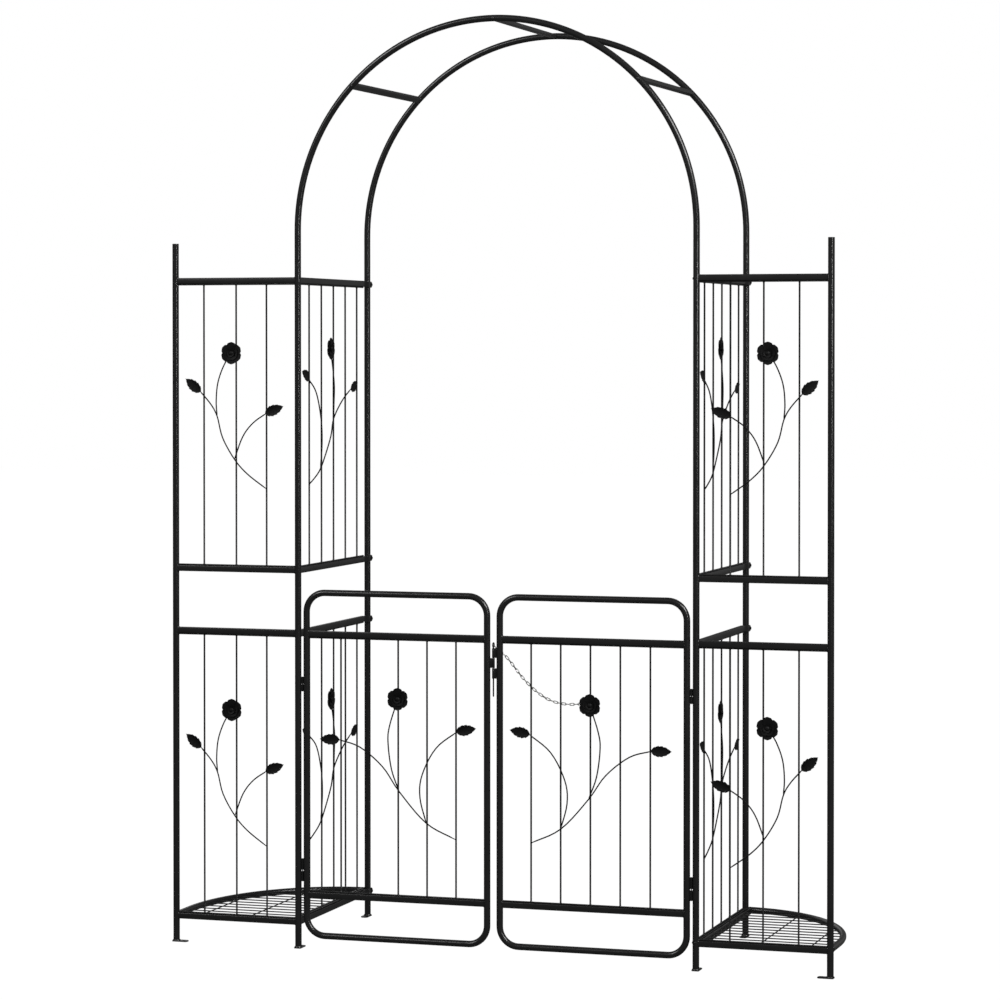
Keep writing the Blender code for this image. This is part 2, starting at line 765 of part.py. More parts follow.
def make_latch(left_pivot, right_pivot):
    """Three knuckles on the meeting edges, a drop pin with a ring, and the chain that keeps it."""
    for name, (low, high) in KNUCKLES.items():
        sign = 1 if name.startswith("right") else -1
        leaf_pivot = right_pivot if sign > 0 else left_pivot
        middle_z = (low + high) / 2
        knuckle = cylinder((0, FRONT_Y, middle_z), KNUCKLE_R, high - low, sides=12)
        web = box((sign * 0.001, FRONT_Y - 0.002, low + 0.001),
                  (sign * (GATE_INNER - GAP), FRONT_Y + 0.002, high - 0.001))
        bore = cylinder((0, FRONT_Y, middle_z), KNUCKLE_BORE_R, 0.04, sides=12)
        knuckle = combine(combine(knuckle, web), bore, "DIFFERENCE")
        finish(knuckle, name, TUBE_PAINT, leaf_pivot.location, leaf_pivot)

    axis = Vector((0, FRONT_Y, 0))
    lift = pivot("latch_pin_axis", axis)
    shaft_top = RING_CENTRE_Z - RING_R
    shaft_profile = [
        (0, shaft_top),
        (PIN_R, shaft_top),
        (PIN_R, PIN_BOTTOM + 0.003),
        (PIN_R * 0.4, PIN_BOTTOM),
        (0, PIN_BOTTOM),
    ]
    shaft = turned(shaft_profile, axis, steps=10)
    bpy.ops.mesh.primitive_torus_add(location=(0, FRONT_Y, RING_CENTRE_Z),
                                     rotation=(0, math.pi / 2, 0), major_segments=16,
                                     minor_segments=6, major_radius=RING_R,
                                     minor_radius=RING_WIRE_R)
    ring = bake(bpy.context.object)
    finish(combine(shaft, ring), "latch_pin", TUBE_PAINT, axis, lift)

    route = [
        (0.000, 0.0082, 0.7560),
        (0.005, 0.0111, 0.7525),
        (0.014, 0.0121, 0.7455),
        (0.028, 0.0121, 0.7340),
        (0.042, 0.0108, 0.7190),
        (0.056, 0.0095, 0.7022),
        (0.072, 0.0082, 0.6840),
        (0.090, 0.0072, 0.6665),
        (0.110, 0.0066, 0.6500),
        (0.132, 0.0064, 0.6365),
        (0.155, 0.0064, 0.6280),
        (0.180, 0.0064, 0.6242),
        (0.206, 0.0064, 0.6245),
        (0.230, 0.0064, 0.6275),
        (0.241, 0.0066, 0.6295),
    ]
    path = [point + axis for point in smooth_path(route)]
    chain = tube(path, CHAIN_R, bevel_resolution=2)
    finish(chain, "latch_chain", BARE_STEEL, right_pivot.location, right_pivot)


make_posts()
make_arch()
make_panels()
make_panel_sprays()
for shelf_side, shelf_sign in SIDES.items():
    shelf(shelf_side, shelf_sign)
gate_pivots = {}
for gate_side, gate_sign in SIDES.items():
    gate_pivots[gate_side] = gate(gate_side, gate_sign)
    make_hinges(gate_side, gate_sign, gate_pivots[gate_side])
make_latch(gate_pivots["left"], gate_pivots["right"])
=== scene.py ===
import math
import random

import bmesh
import bpy
from mathutils import Matrix, Vector


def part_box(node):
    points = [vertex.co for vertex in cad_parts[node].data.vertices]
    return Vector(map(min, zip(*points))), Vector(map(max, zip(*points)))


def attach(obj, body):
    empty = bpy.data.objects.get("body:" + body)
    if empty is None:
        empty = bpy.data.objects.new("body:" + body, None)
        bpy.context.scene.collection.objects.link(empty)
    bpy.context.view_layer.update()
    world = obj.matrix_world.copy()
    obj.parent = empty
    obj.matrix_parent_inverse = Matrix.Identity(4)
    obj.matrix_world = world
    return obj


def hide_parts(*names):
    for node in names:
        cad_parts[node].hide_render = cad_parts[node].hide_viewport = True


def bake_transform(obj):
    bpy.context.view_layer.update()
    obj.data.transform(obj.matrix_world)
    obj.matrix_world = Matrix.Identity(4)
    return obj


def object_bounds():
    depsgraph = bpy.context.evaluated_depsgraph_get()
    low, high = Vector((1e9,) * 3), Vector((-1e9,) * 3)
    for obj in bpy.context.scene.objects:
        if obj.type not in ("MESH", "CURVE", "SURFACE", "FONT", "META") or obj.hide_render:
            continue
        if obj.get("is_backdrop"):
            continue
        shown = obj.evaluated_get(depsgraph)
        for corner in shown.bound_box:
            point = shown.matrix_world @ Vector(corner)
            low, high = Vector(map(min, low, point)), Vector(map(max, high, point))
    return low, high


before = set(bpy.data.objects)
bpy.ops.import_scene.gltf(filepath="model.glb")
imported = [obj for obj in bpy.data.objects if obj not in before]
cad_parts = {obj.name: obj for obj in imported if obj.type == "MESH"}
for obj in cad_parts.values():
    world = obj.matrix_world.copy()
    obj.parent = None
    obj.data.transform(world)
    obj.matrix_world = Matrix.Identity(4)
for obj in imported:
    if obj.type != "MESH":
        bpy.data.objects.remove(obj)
cad_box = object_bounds()

# ---------------------------------------------------------------- camera
# A camera at eye height, eight metres back and well to the right of the gates, with a long
# lens. It looks down by about one degree only, so that uprights stay upright, and its frame
# is shifted down to take in the feet.

camera_data = bpy.data.cameras.new("camera")
camera_data.lens = 122.4
camera_data.sensor_width = 36
camera_data.shift_y = -0.0941
camera_data.clip_end = 60
camera = bpy.data.objects.new("camera", camera_data)
camera.location = (2.517, -8.0675, 1.4763)
camera.rotation_euler = (math.pi / 2 - 0.0165, 0, 0.3095)
bpy.context.scene.collection.objects.link(camera)
bpy.context.scene.camera = camera

# ---------------------------------------------------------------- chain
# The keeper chain of the drop pin: small welded links of zinc-plated steel wire, 0.30 m in all.
# It hangs behind the right leaf, from the pin's ring to a loop round the leaf's middle wire.

RIGHT = Vector((1, 0, 0))
BACK = Vector((0, 1, 0))
UP = Vector((0, 0, 1))
LINK_WIRE = 0.0019
LINK_WIDTH = 0.0070
LINK_PITCH = 0.01030
LINK_COUNT = 30
CHAIN_LEAD = 0.6
ring_low, ring_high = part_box("latch_pin")
front_line = (ring_low.y + ring_high.y) / 2
EYE_HEIGHT = 0.7620
EYE_RADIUS = 0.0055
EYE_WIRE = 0.0016


def framed(origin, first, second, third):
    """Puts measures of a drawing in space, along three directions from an origin."""
    start = Vector(origin)
    steps = [Vector(direction) for direction in (first, second, third)]

    def put(a, b, c):
        return start + steps[0] * a + steps[1] * b + steps[2] * c

    return put


def smooth(points, spans=6):
    """A smooth line through the given points."""
    places = [Vector(point) for point in points]
    places = [2 * places[0] - places[1], *places, 2 * places[-1] - places[-2]]
    line = []
    for a, b, c, d in zip(places, places[1:], places[2:], places[3:]):
        for step in range(spans):
            t = step / spans
            line.append(0.5 * (2 * b + (c - a) * t + (2 * a - 5 * b + 4 * c - d) * t ** 2
                               + (3 * b - a - 3 * c + d) * t ** 3))
    line.append(places[-2])
    return line


def after(line, distance):
    """The place and the heading after a distance along a line."""
    for near, far in zip(line, line[1:]):
        length = (far - near).length
        heading = (far - near).normalized()
        place = near + heading * distance
        if distance <= length:
            break
        distance -= length
    return place, heading


def loft(mesh, rings, ends="capped"):
    """Skins a row of rings, each joined to the next, and caps the ends or joins them up."""
    rows = [[mesh.verts.new(point) for point in ring] for ring in rings]
    pairs = list(zip(rows, rows[1:]))
    if ends == "joined":
        pairs.append((rows[-1], rows[0]))
    for near, far in pairs:
        for i in range(len(near)):
            j = (i + 1) % len(near)
            mesh.faces.new((near[i], near[j], far[j], far[i]))
    if ends == "capped":
        mesh.faces.new(list(reversed(rows[0])))
        mesh.faces.new(rows[-1])


def round_section(radius, sides):
    turns = [2 * math.pi * i / sides for i in range(sides)]
    return [(radius * math.cos(turn), radius * math.sin(turn)) for turn in turns]


def carried(line, section, closed=False, sizes=None, side=None):
    """Rings of a section carried along a line without a twist."""
    count = len(line)
    rings = []
    for i, place in enumerate(line):
        before = line[i - 1] if i > 0 or closed else place
        ahead = line[(i + 1) % count] if i < count - 1 or closed else place
        heading = (ahead - before).normalized()
        side = heading.orthogonal() if side is None else side
        side = (side - heading * side.dot(heading)).normalized()
        over = heading.cross(side)
        size = sizes[i] if sizes else 1.0
        rings.append([place + (side * a + over * b) * size for a, b in section])
    return rings


def make_piece(name, mesh, finish, slot, body, *stands_for):
    """Names a built mesh, gives it its finish, and fixes it to the body it moves with."""
    bmesh.ops.recalc_face_normals(mesh, faces=mesh.faces)
    data = bpy.data.meshes.new(name)
    mesh.to_mesh(data)
    mesh.free()
    data.materials.append(finish)
    data.shade_smooth()
    data.set_sharp_from_angle(angle=math.radians(40))
    piece = bpy.data.objects.new(name, data)
    bpy.context.scene.collection.objects.link(piece)
    if body:
        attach(piece, body)
    if stands_for:
        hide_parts(*stands_for)
    return piece


class Value:
    """A value that varies over a surface. Sums on values add Math nodes."""

    def __init__(self, tree, socket=None):
        self.tree = tree
        self.socket = socket

    def add(self, kind, settings, values, output=0):
        """A node: its settings first, then the values or links of its sockets."""
        node = self.tree.nodes.new("ShaderNode" + kind)
        for key, setting in settings.items():
            if key == "stops":
                for element, (position, shade) in zip(node.color_ramp.elements, setting):
                    element.position = position
                    element.color = (shade, shade, shade, 1)
            else:
                setattr(node, key, setting)
        for key, value in values.items():
            if isinstance(value, Value):
                self.tree.links.new(value.socket, node.inputs[key])
            else:
                node.inputs[key].default_value = value
        return Value(self.tree, node.outputs[output])

    def noise(self, scale, detail):
        """Soft cloudy noise from 0 to 1, at so many cells to the metre."""
        values = {"Vector": self, "Scale": scale, "Detail": detail, "Roughness": 0.55}
        return self.add("TexNoise", {}, values, "Fac")

    def ramp(self, low, high):
        """0 up to the low stop, 1 from the high stop on."""
        return self.add("ValToRGB", {"stops": ((low, 0), (high, 1))}, {"Fac": self})

    def blend(self, first, second):
        """A colour that goes from the first to the second as this value rises."""
        return self.add("Mix", {"data_type": "RGBA"}, {0: self, 6: first, 7: second}, 2)

    def __add__(self, other):
        return self.add("Math", {"operation": "ADD"}, {0: self, 1: other})

    __radd__ = __add__

    def __mul__(self, other):
        return self.add("Math", {"operation": "MULTIPLY"}, {0: self, 1: other})

    __rmul__ = __mul__


def new_finish(name, colour, roughness, metallic, relief, gloss=0.5):
    """A surface whose colour, roughness and relief are worked out by the function given."""
    finish = bpy.data.materials.new(name)
    finish.use_nodes = True
    tree = finish.node_tree
    shader = tree.nodes["Principled BSDF"]
    shader.inputs["Metallic"].default_value = metallic
    shader.inputs["Specular IOR Level"].default_value = gloss
    tree.links.new(colour(Value(tree)).socket, shader.inputs["Base Color"])
    tree.links.new(roughness(Value(tree)).socket, shader.inputs["Roughness"])
    height, distance = relief(Value(tree))
    values = {"Height": height, "Distance": distance, "Strength": 1.0}
    bump = height.add("Bump", {}, values, "Normal")
    tree.links.new(bump.socket, shader.inputs["Normal"])
    return finish


BRIGHT_ZINC = (0.40, 0.40, 0.39, 1)
DULL_ZINC = (0.24, 0.24, 0.23, 1)


def zinc_colour(start):
    """Zinc plate with fine spangles, gone dull in patches."""
    place = start.add("TexCoord", {}, {}, "Object")
    spangle = place.add("TexVoronoi", {}, {"Vector": place, "Scale": 900.0}, "Color")
    cloud = place.noise(160, 3).ramp(0.35, 0.75)
    dulled = cloud.blend(BRIGHT_ZINC, DULL_ZINC)
    return cloud.add("Mix", {"data_type": "RGBA", "blend_type": "SOFT_LIGHT"},
                     {0: 0.20, 6: dulled, 7: spangle}, 2)


def zinc_roughness(start):
    place = start.add("TexCoord", {}, {}, "Object")
    return 0.26 + 0.22 * place.noise(420, 4)


def zinc_relief(start):
    place = start.add("TexCoord", {}, {}, "Object")
    return place.noise(2600, 2), 0.00006


zinc_plate = new_finish("zinc_plated_steel", zinc_colour, zinc_roughness, 1.0, zinc_relief)


def chain_link(mesh, centre, heading, across, radius, straight):
    """One oval link, long in the heading, bent from wire and welded."""
    line = []
    for step in range(20):
        turn = 2 * math.pi * (step + 0.5) / 20
        forward = math.copysign(straight / 2, math.cos(turn)) + radius * math.cos(turn)
        line.append(centre + heading * forward + across * radius * math.sin(turn))
    section = round_section(LINK_WIRE / 2, 8)
    loft(mesh, carried(line, section, closed=True, side=heading.cross(across)), "joined")


at_latch = framed((0, front_line, 0), RIGHT, BACK, UP)
route = [at_latch(*point) for point in (
    (0.000, 0.0082, 0.7560),
    (0.005, 0.0111, 0.7525),
    (0.014, 0.0121, 0.7455),
    (0.028, 0.0121, 0.7340),
    (0.042, 0.0108, 0.7190),
    (0.056, 0.0095, 0.7022),
    (0.072, 0.0082, 0.6840),
    (0.090, 0.0072, 0.6665),
    (0.110, 0.0066, 0.6500),
    (0.132, 0.0064, 0.6365),
    (0.155, 0.0064, 0.6280),
    (0.180, 0.0064, 0.6242),
    (0.206, 0.0064, 0.6245),
    (0.230, 0.0064, 0.6275),
    (0.241, 0.0066, 0.6295),
)]
eye_centre = at_latch(0, 0, EYE_HEIGHT)
outward = (route[0] - eye_centre).normalized()
first_centre = eye_centre + outward * (EYE_RADIUS + LINK_PITCH / 2 - EYE_WIRE)
middle_wire = at_latch(0.2443, 0.0004, 0.6292)
chain_line = smooth([first_centre - outward * LINK_PITCH * CHAIN_LEAD, first_centre, *route[1:],
                     middle_wire + (middle_wire - route[-1]).normalized() * 0.0033])
link_radius = (LINK_WIDTH - LINK_WIRE) / 2
link_straight = LINK_PITCH - LINK_WIDTH + 2 * LINK_WIRE
jostle = random.Random(7)
chain_mesh = bmesh.new()
for count in range(LINK_COUNT):
    centre, heading = after(chain_line, LINK_PITCH * (CHAIN_LEAD + count))
    face_on = Vector((-heading.z, 0, heading.x)).normalized()
    turn = math.radians(jostle.uniform(-9, 9)) + (math.pi / 2 if count % 2 else 0)
    across = Matrix.Rotation(turn if count else 0, 3, heading) @ face_on
    chain_link(chain_mesh, centre, heading, across, link_radius, link_straight)
loop_line = [middle_wire + Vector((0.0036 * math.cos(turn), 0.0034 * math.sin(turn),
                                   0.0008 * math.sin(turn)))
             for turn in (2 * math.pi * i / 24 for i in range(24))]
loft(chain_mesh, carried(loop_line, round_section(LINK_WIRE / 2, 8), closed=True), "joined")
chain = make_piece("keeper_chain", chain_mesh, zinc_plate, "chain_steel", None, "latch_chain")
tuple(route[-1])
tuple(route[0])
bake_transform(chain)
tuple(route[0])
[tuple(place) for place in chain_line]

# ---------------------------------------------------------------- posts
# Six posts of 16 mm steel tube, each a lower and an upper length. The upper one is swaged to
# plug into the lower, and a thin foot plate with a peg hole is welded under each post.

WALL = 0.0012
EDGE = 0.0003
GAP = 0.0003
FOOT_TOP = 0.003
PEG_HOLE = 0.0035
PEG_HOLE_OUT = 0.01925
SPIGOT = 0.0065
SPIGOT_LENGTH = 0.040
PALE_SPECK = (0.06, 0.06, 0.058, 1)
SETTLED_DUST = (0.11, 0.105, 0.095, 1)


def coat_colour(shade, dust):
    """Black powder coat, a little uneven, with pale specks and some dust on what faces up."""
    def colour(start):
        place = start.add("TexCoord", {}, {}, "Object")
        cloud = place.noise(9, 4).ramp(0.3, 0.7)
        speck = place.noise(1500, 1).ramp(0.70, 0.76)
        facing = start.add("NewGeometry", {}, {}, "Normal")
        upward = facing.add("SeparateXYZ", {}, {0: facing}, "Z").ramp(0.45, 1.0)
        settled = upward * place.noise(60, 5).ramp(0.40, 0.75) * dust
        thin = (shade * 1.25, shade * 1.25, shade * 1.27, 1)
        coat = cloud.blend((shade * 0.85, shade * 0.85, shade * 0.86, 1), thin)
        speckled = (speck * 0.35).blend(coat, PALE_SPECK)
        return settled.blend(speckled, SETTLED_DUST)
    return colour


def coat_roughness(base):
    """A satin coat, a little rougher in patches."""
    def roughness(start):
        place = start.add("TexCoord", {}, {}, "Object")
        return base + 0.10 * place.noise(24, 4) + 0.06 * place.noise(700, 2)
    return roughness


def orange_peel(grain, depth):
    """The fine waves of a baked coat, at so many to the metre."""
    def relief(start):
        place = start.add("TexCoord", {}, {}, "Object")
        return place.noise(grain, 2) + 0.4 * place.noise(grain * 0.28, 1), depth
    return relief


tube_coat = new_finish("tube_powder_coat", coat_colour(0.0125, 0.12), coat_roughness(0.17), 0.0,
                       orange_peel(750, 0.00002))


def turned(mesh, put, profile, sides=32, ends="capped"):
    """Turns a profile of (height, radius) pairs about the first direction of put."""
    rings = []
    for height, radius in profile:
        rings.append([put(height, a, b) for a, b in round_section(radius, sides)])
    loft(mesh, rings, ends)


def weld(mesh, line, radius, closed=True):
    """A weld bead along a line, with the ripples that a torch leaves."""
    if closed:
        line = [*line, line[0]]
    length = sum((far - near).length for near, far in zip(line, line[1:]))
    count = max(6, round(length / 0.0011))
    places = [after(line, length * i / count)[0] for i in range(count + (not closed))]
    sizes = [1 + 0.16 * math.sin(i * 2.2) + 0.07 * math.sin(i * 0.7) for i in range(len(places))]
    if not closed:
        sizes[0] = 0.45
        sizes[-1] = 0.45
    rings = carried(places, round_section(radius, 6), closed, sizes)
    loft(mesh, rings, "joined" if closed else "capped")


def plate(mesh, outline, hole, thickness, edge, place):
    """A flat plate with a hole and eased edges, moved into place by a matrix."""
    curve = bpy.data.curves.new("plate", "CURVE")
    curve.dimensions = "2D"
    curve.fill_mode = "BOTH"
    curve.extrude = thickness / 2 - edge
    curve.bevel_depth = edge
    curve.bevel_resolution = 1
    curve.offset = -edge
    for ring in (outline, hole):
        spline = curve.splines.new("POLY")
        spline.points.add(len(ring) - 1)
        for point, (x, y) in zip(spline.points, ring):
            point.co = (x, y, 0.0, 1.0)
        spline.use_cyclic_u = True
    holder = bpy.data.objects.new("plate", curve)
    bpy.context.scene.collection.objects.link(holder)
    bpy.context.view_layer.update()
    shown = holder.evaluated_get(bpy.context.evaluated_depsgraph_get())
    flat = bpy.data.meshes.new_from_object(shown)
    bpy.data.objects.remove(holder)
    flat.transform(place)
    loose = bmesh.new()
    loose.from_mesh(flat)
    bmesh.ops.remove_doubles(loose, verts=loose.verts, dist=0.00001)
    loose.to_mesh(flat)
    loose.free()
    mesh.from_mesh(flat)
    bpy.data.meshes.remove(flat)


def foot_outline():
    """The foot plate's tab, long in X, with its corners cut off."""
    tip = 0.0305
    half = 0.009
    cut = 0.004
    nick = 0.002
    return [(-half + nick, -half), (tip - cut, -half), (tip, -half + cut), (tip, half - cut),
            (tip - cut, half), (-half + nick, half), (-half, half - nick),
            (-half, -half + nick)]


posts = {}
foot_turns = {
    "left_outer": 0.0,
    "right_outer": math.pi,
    "left_inner_front": math.pi / 2,
    "right_inner_front": math.pi / 2,
    "left_inner_rear": -math.pi / 2,
    "right_inner_rear": -math.pi / 2,
}
for place, foot_turn in foot_turns.items():
    low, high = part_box(f"{place}_post_upper")
    posts[place] = Vector(((low.x + high.x) / 2, (low.y + high.y) / 2, 0))
    tube = (high.x - low.x) / 2
    post_top = high.z
    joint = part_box(f"{place}_post_lower")[1].z
    bore = tube - WALL
    put = framed(posts[place], UP, RIGHT, BACK)
    lower = bmesh.new()
    turned(lower, put, ((FOOT_TOP * 0.9, tube), (joint - EDGE, tube), (joint, tube - EDGE),
                        (joint, bore + EDGE), (joint - EDGE, bore), (FOOT_TOP * 0.9, bore)),
           ends="joined")
    hole = [(PEG_HOLE_OUT + x, y) for x, y in round_section(PEG_HOLE, 20)]
    foot_place = Matrix.Translation(posts[place] + UP * FOOT_TOP / 2)
    foot_place = foot_place @ Matrix.Rotation(foot_turn, 4, "Z")
    plate(lower, foot_outline(), hole, FOOT_TOP, 0.0005, foot_place)
    ring = [put(FOOT_TOP + 0.0006, a, b) for a, b in round_section(tube + 0.0006, 24)]
    weld(lower, ring, 0.0013)
    make_piece(f"{place}_lower_tube", lower, tube_coat, "tube_paint", "root",
               f"{place}_post_lower")
    shoulder = joint + GAP
    upper = bmesh.new()
    turned(upper, put, ((shoulder, tube - EDGE), (shoulder + EDGE, tube), (post_top - EDGE, tube),
                        (post_top, tube - EDGE), (post_top, bore + EDGE),
                        (post_top - EDGE, bore), (shoulder + 0.004, bore),
                        (shoulder, SPIGOT - 0.001), (joint - SPIGOT_LENGTH, SPIGOT - 0.001),
                        (joint - SPIGOT_LENGTH, SPIGOT - EDGE),
                        (joint - SPIGOT_LENGTH + EDGE, SPIGOT), (shoulder, SPIGOT)),
           ends="joined")
    make_piece(f"{place}_upper_tube", upper, tube_coat, "tube_paint", "root",
               f"{place}_post_upper")

# ---------------------------------------------------------------- trellis panels
# Eight panels, a front and a side one at each level of each section: two rails with upright
# wires between. The wires are welded to a round rod that runs along each rail's inner edge.

SIDES = {"left": -1, "right": 1}
LEVELS = {"upper": (0.935, 1.6455), "lower": (0.067, 0.777)}
FRONT_WIRES = (0.083, 0.1635, 0.2495)
SIDE_WIRES = [0.0771 + 0.0857 * i for i in range(5)]
RAIL_HALF_HEIGHT = 0.0094
RAIL_HALF_DEPTH = 0.005
RAIL_CORNER = 0.0016
RAIL_WELD = 0.0011
ROD = 0.002
WIRE = 0.0022
LUG_LOW = tube + GAP
LUG_HIGH = LUG_LOW + 0.003
LUG_HALF_HEIGHT = 0.008
LUG_CORNER = 0.0011
rail_coat = new_finish("rail_powder_coat", coat_colour(0.0105, 0.12), coat_roughness(0.24), 0.0,
                       orange_peel(750, 0.00005))


def round_corners(left, right, bottom, top, corner, steps=3):
    """A rectangle with round corners, as (across, up) pairs."""
    outline = []
    corners = ((right - corner, top - corner), (left + corner, top - corner),
               (left + corner, bottom + corner), (right - corner, bottom + corner))
    for quarter, (x, z) in enumerate(corners):
        for step in range(steps + 1):
            turn = math.pi / 2 * (quarter + step / steps)
            outline.append((x + corner * math.cos(turn), z + corner * math.sin(turn)))
    return outline


def rail_edges(wires_side):
    """A rail's own bottom and top, clear of the rod on its wires' side, 1 above or -1 below."""
    plain = RAIL_HALF_HEIGHT - 2 * ROD
    bottom = -plain if wires_side < 0 else -RAIL_HALF_HEIGHT
    top = plain if wires_side > 0 else RAIL_HALF_HEIGHT
    return bottom, top


def rail_section(wires_side):
    """A rail's own outline, without the rod."""
    return round_corners(-RAIL_HALF_DEPTH, RAIL_HALF_DEPTH, *rail_edges(wires_side), RAIL_CORNER)


def round_bar(mesh, start, end, radius, flare=1.0):
    """A straight round rod or wire, its ends swelling a little into their welds."""
    line = [start.lerp(end, t) for t in (0, 0.5, 1)]
    sizes = None
    if flare > 1:
        heading = (end - start).normalized()
        line = [start, start + heading * 0.0008, start + heading * 0.0020, (start + end) / 2,
                end - heading * 0.0020, end - heading * 0.0008, end]
        sizes = [flare, (flare + 1) / 2, 1, 1, 1, (flare + 1) / 2, flare]
    loft(mesh, carried(line, round_section(radius, 12), sizes=sizes))


def coped_ring(put, section, distance, side, radius):
    """The section's outline where it meets a tube of the given radius round the distance."""
    return [put(distance + side * math.sqrt(radius ** 2 - b ** 2), b, c) for b, c in section]


def coped_rail(mesh, put, length, wires_side):
    """A rail and its rod between two tubes whose axes are length apart."""
    section = rail_section(wires_side)
    near = coped_ring(put, section, 0, 1, tube)
    far = coped_ring(put, section, length, -1, tube)
    loft(mesh, [near, far])
    weld(mesh, near, RAIL_WELD)
    weld(mesh, far, RAIL_WELD)
    height = wires_side * (RAIL_HALF_HEIGHT - ROD)
    round_bar(mesh, put(tube - 0.0004, 0, height), put(length - tube + 0.0004, 0, height), ROD,
              1.35)


def lug_rail(mesh, put, length, wires_side):
    """A rail welded to the front post, whose rear end is pressed flat to bolt on a rear post."""
    bottom, top = rail_edges(wires_side)
    near = coped_ring(put, rail_section(wires_side), 0, 1, tube)
    rings = [near]
    for step in range(9):
        t = step / 8
        ease = t * t * (3 - 2 * t)
        shape = (-RAIL_HALF_DEPTH + (LUG_LOW + RAIL_HALF_DEPTH) * ease,
                 RAIL_HALF_DEPTH + (LUG_HIGH - RAIL_HALF_DEPTH) * ease,
                 bottom + (-LUG_HALF_HEIGHT - bottom) * ease,
                 top + (LUG_HALF_HEIGHT - top) * ease)
        corner = RAIL_CORNER + (LUG_CORNER - RAIL_CORNER) * ease
        distance = length - 0.040 + 0.026 * t
        rings.append([put(distance, b, c) for b, c in round_corners(*shape, corner)])
    for reach, half in ((0.001, 0.0080), (0.0035, 0.0072), (0.0055, 0.0058), (0.0066, 0.0042),
                        (0.0070, 0.0030)):
        shape = (LUG_LOW, LUG_HIGH, -half, half)
        rings.append([put(length + reach, b, c) for b, c in round_corners(*shape, LUG_CORNER)])
    loft(mesh, rings)
    weld(mesh, near, RAIL_WELD)
    height = wires_side * (RAIL_HALF_HEIGHT - ROD)
    round_bar(mesh, put(tube - 0.0004, 0, height), put(length - 0.034, 0, height), ROD, 1.1)


def upright_wires(mesh, put, positions, low, high):
    """Wires from the rod of the lower rail to the rod of the upper one."""
    reach = RAIL_HALF_HEIGHT - ROD
    for position in positions:
        foot = put(position, 0, low + reach + 0.0015)
        head = put(position, 0, high - reach - 0.0015)
        round_bar(mesh, foot, head, WIRE, 1.45)


front_span = posts["right_outer"].x - posts["right_inner_front"].x
side_span = posts["right_inner_rear"].y - posts["right_inner_front"].y
for side, sign in SIDES.items():
    corner_post = posts[f"{side}_inner_front"]
    for level, (low_rail, high_rail) in LEVELS.items():
        front = bmesh.new()
        side_mesh = bmesh.new()
        for height, wires_side in ((low_rail, 1), (high_rail, -1)):
            put = framed(corner_post + UP * height, RIGHT * sign, BACK, UP)
            coped_rail(front, put, front_span, wires_side)
            put = framed(corner_post + UP * height, BACK, RIGHT, UP)
            lug_rail(side_mesh, put, side_span, wires_side)
        put = framed(corner_post, RIGHT * sign, BACK, UP)
        upright_wires(front, put, FRONT_WIRES, low_rail, high_rail)
        put = framed(corner_post, BACK, RIGHT, UP)
        upright_wires(side_mesh, put, SIDE_WIRES, low_rail, high_rail)
        make_piece(f"{side}_front_trellis_{level}", front, rail_coat, "rail_paint", "root",
                   f"{side}_front_panel_{level}")
        make_piece(f"{side}_side_trellis_{level}", side_mesh, rail_coat, "rail_paint", "root",
                   f"{side}_side_panel_{level}")

# ---------------------------------------------------------------- bolts
# Small machine screws, painted black with the rest: hex heads over the lugs at the rear posts,
# with domed nuts on the other side, and low round heads on the front and the left of the right
# front corner post, at its lowest and its highest rail.


def hex_head(mesh, place, outward, high=0.0026):
    """A washer and a hex head with its top edge turned off, standing out of a face."""
    side = UP if abs(outward.z) < 0.5 else RIGHT
    put = framed(place, outward, side, outward.cross(side))
    turned(mesh, put, ((-0.0002, 0.0050), (0.0006, 0.0050), (0.0008, 0.0047)), 20)
    turned(mesh, put, ((0.0006, 0.0038), (high - 0.0005, 0.0038), (high, 0.0032)), 6)


def dome_head(mesh, place, outward, radius, high):
    """A low round head."""
    side = UP if abs(outward.z) < 0.5 else RIGHT
    put = framed(place, outward, side, outward.cross(side))
    turned(mesh, put, ((-0.0010, radius), (high * 0.25, radius), (high * 0.65, radius * 0.86),
                       (high * 0.92, radius * 0.55), (high, radius * 0.2)), 20)


rail_heights = LEVELS["lower"] + LEVELS["upper"]
lowest = rail_heights[0]
highest = rail_heights[-1]
for side in SIDES:
    bolts = bmesh.new()
    rear_post = posts[f"{side}_inner_rear"]
    for height in rail_heights:
        # The shelf's rim covers the lowest bolt on its own side of the post.
        if side == "left" or height > lowest:
            hex_head(bolts, rear_post + UP * height + RIGHT * LUG_HIGH, RIGHT)
        if side == "right" or height > lowest:
            dome_head(bolts, rear_post + UP * height - RIGHT * tube, -RIGHT, 0.0034, 0.0026)
    if side == "right":
        for height in (lowest, highest):
            place = posts["right_inner_front"] + UP * height
            dome_head(bolts, place - RIGHT * tube, -RIGHT, 0.0030, 0.0016)
            dome_head(bolts, place - BACK * tube, -BACK, 0.0026, 0.0010)
    make_piece(f"{side}_section_bolts", bolts, tube_coat, "tube_paint", "root")

# ---------------------------------------------------------------- flower sprays
# Ten sprays of welded ironwork, matt black: three bent rods, two serrated leaves pressed from
# sheet, and a rose of lapped petals, tacked on one face of the wires.

STEM = 0.0017
STEM_OUT = 0.0038
LEAF_LENGTH = 0.050
LEAF_HALF_WIDTH = 0.0130
LEAF_TEETH = 5
ROSE = 0.0272
MIDDLE_PETAL = 0.0178
BUD_PETAL = 0.0100
GATE_WIRES = [0.0955 + 0.0744 * i for i in range(5)]
MATT_BLACK = (0.0030, 0.0030, 0.0031, 1)
WORN_BLACK = (0.0055, 0.0055, 0.0056, 1)
RUBBED_IRON = (0.018, 0.018, 0.017, 1)


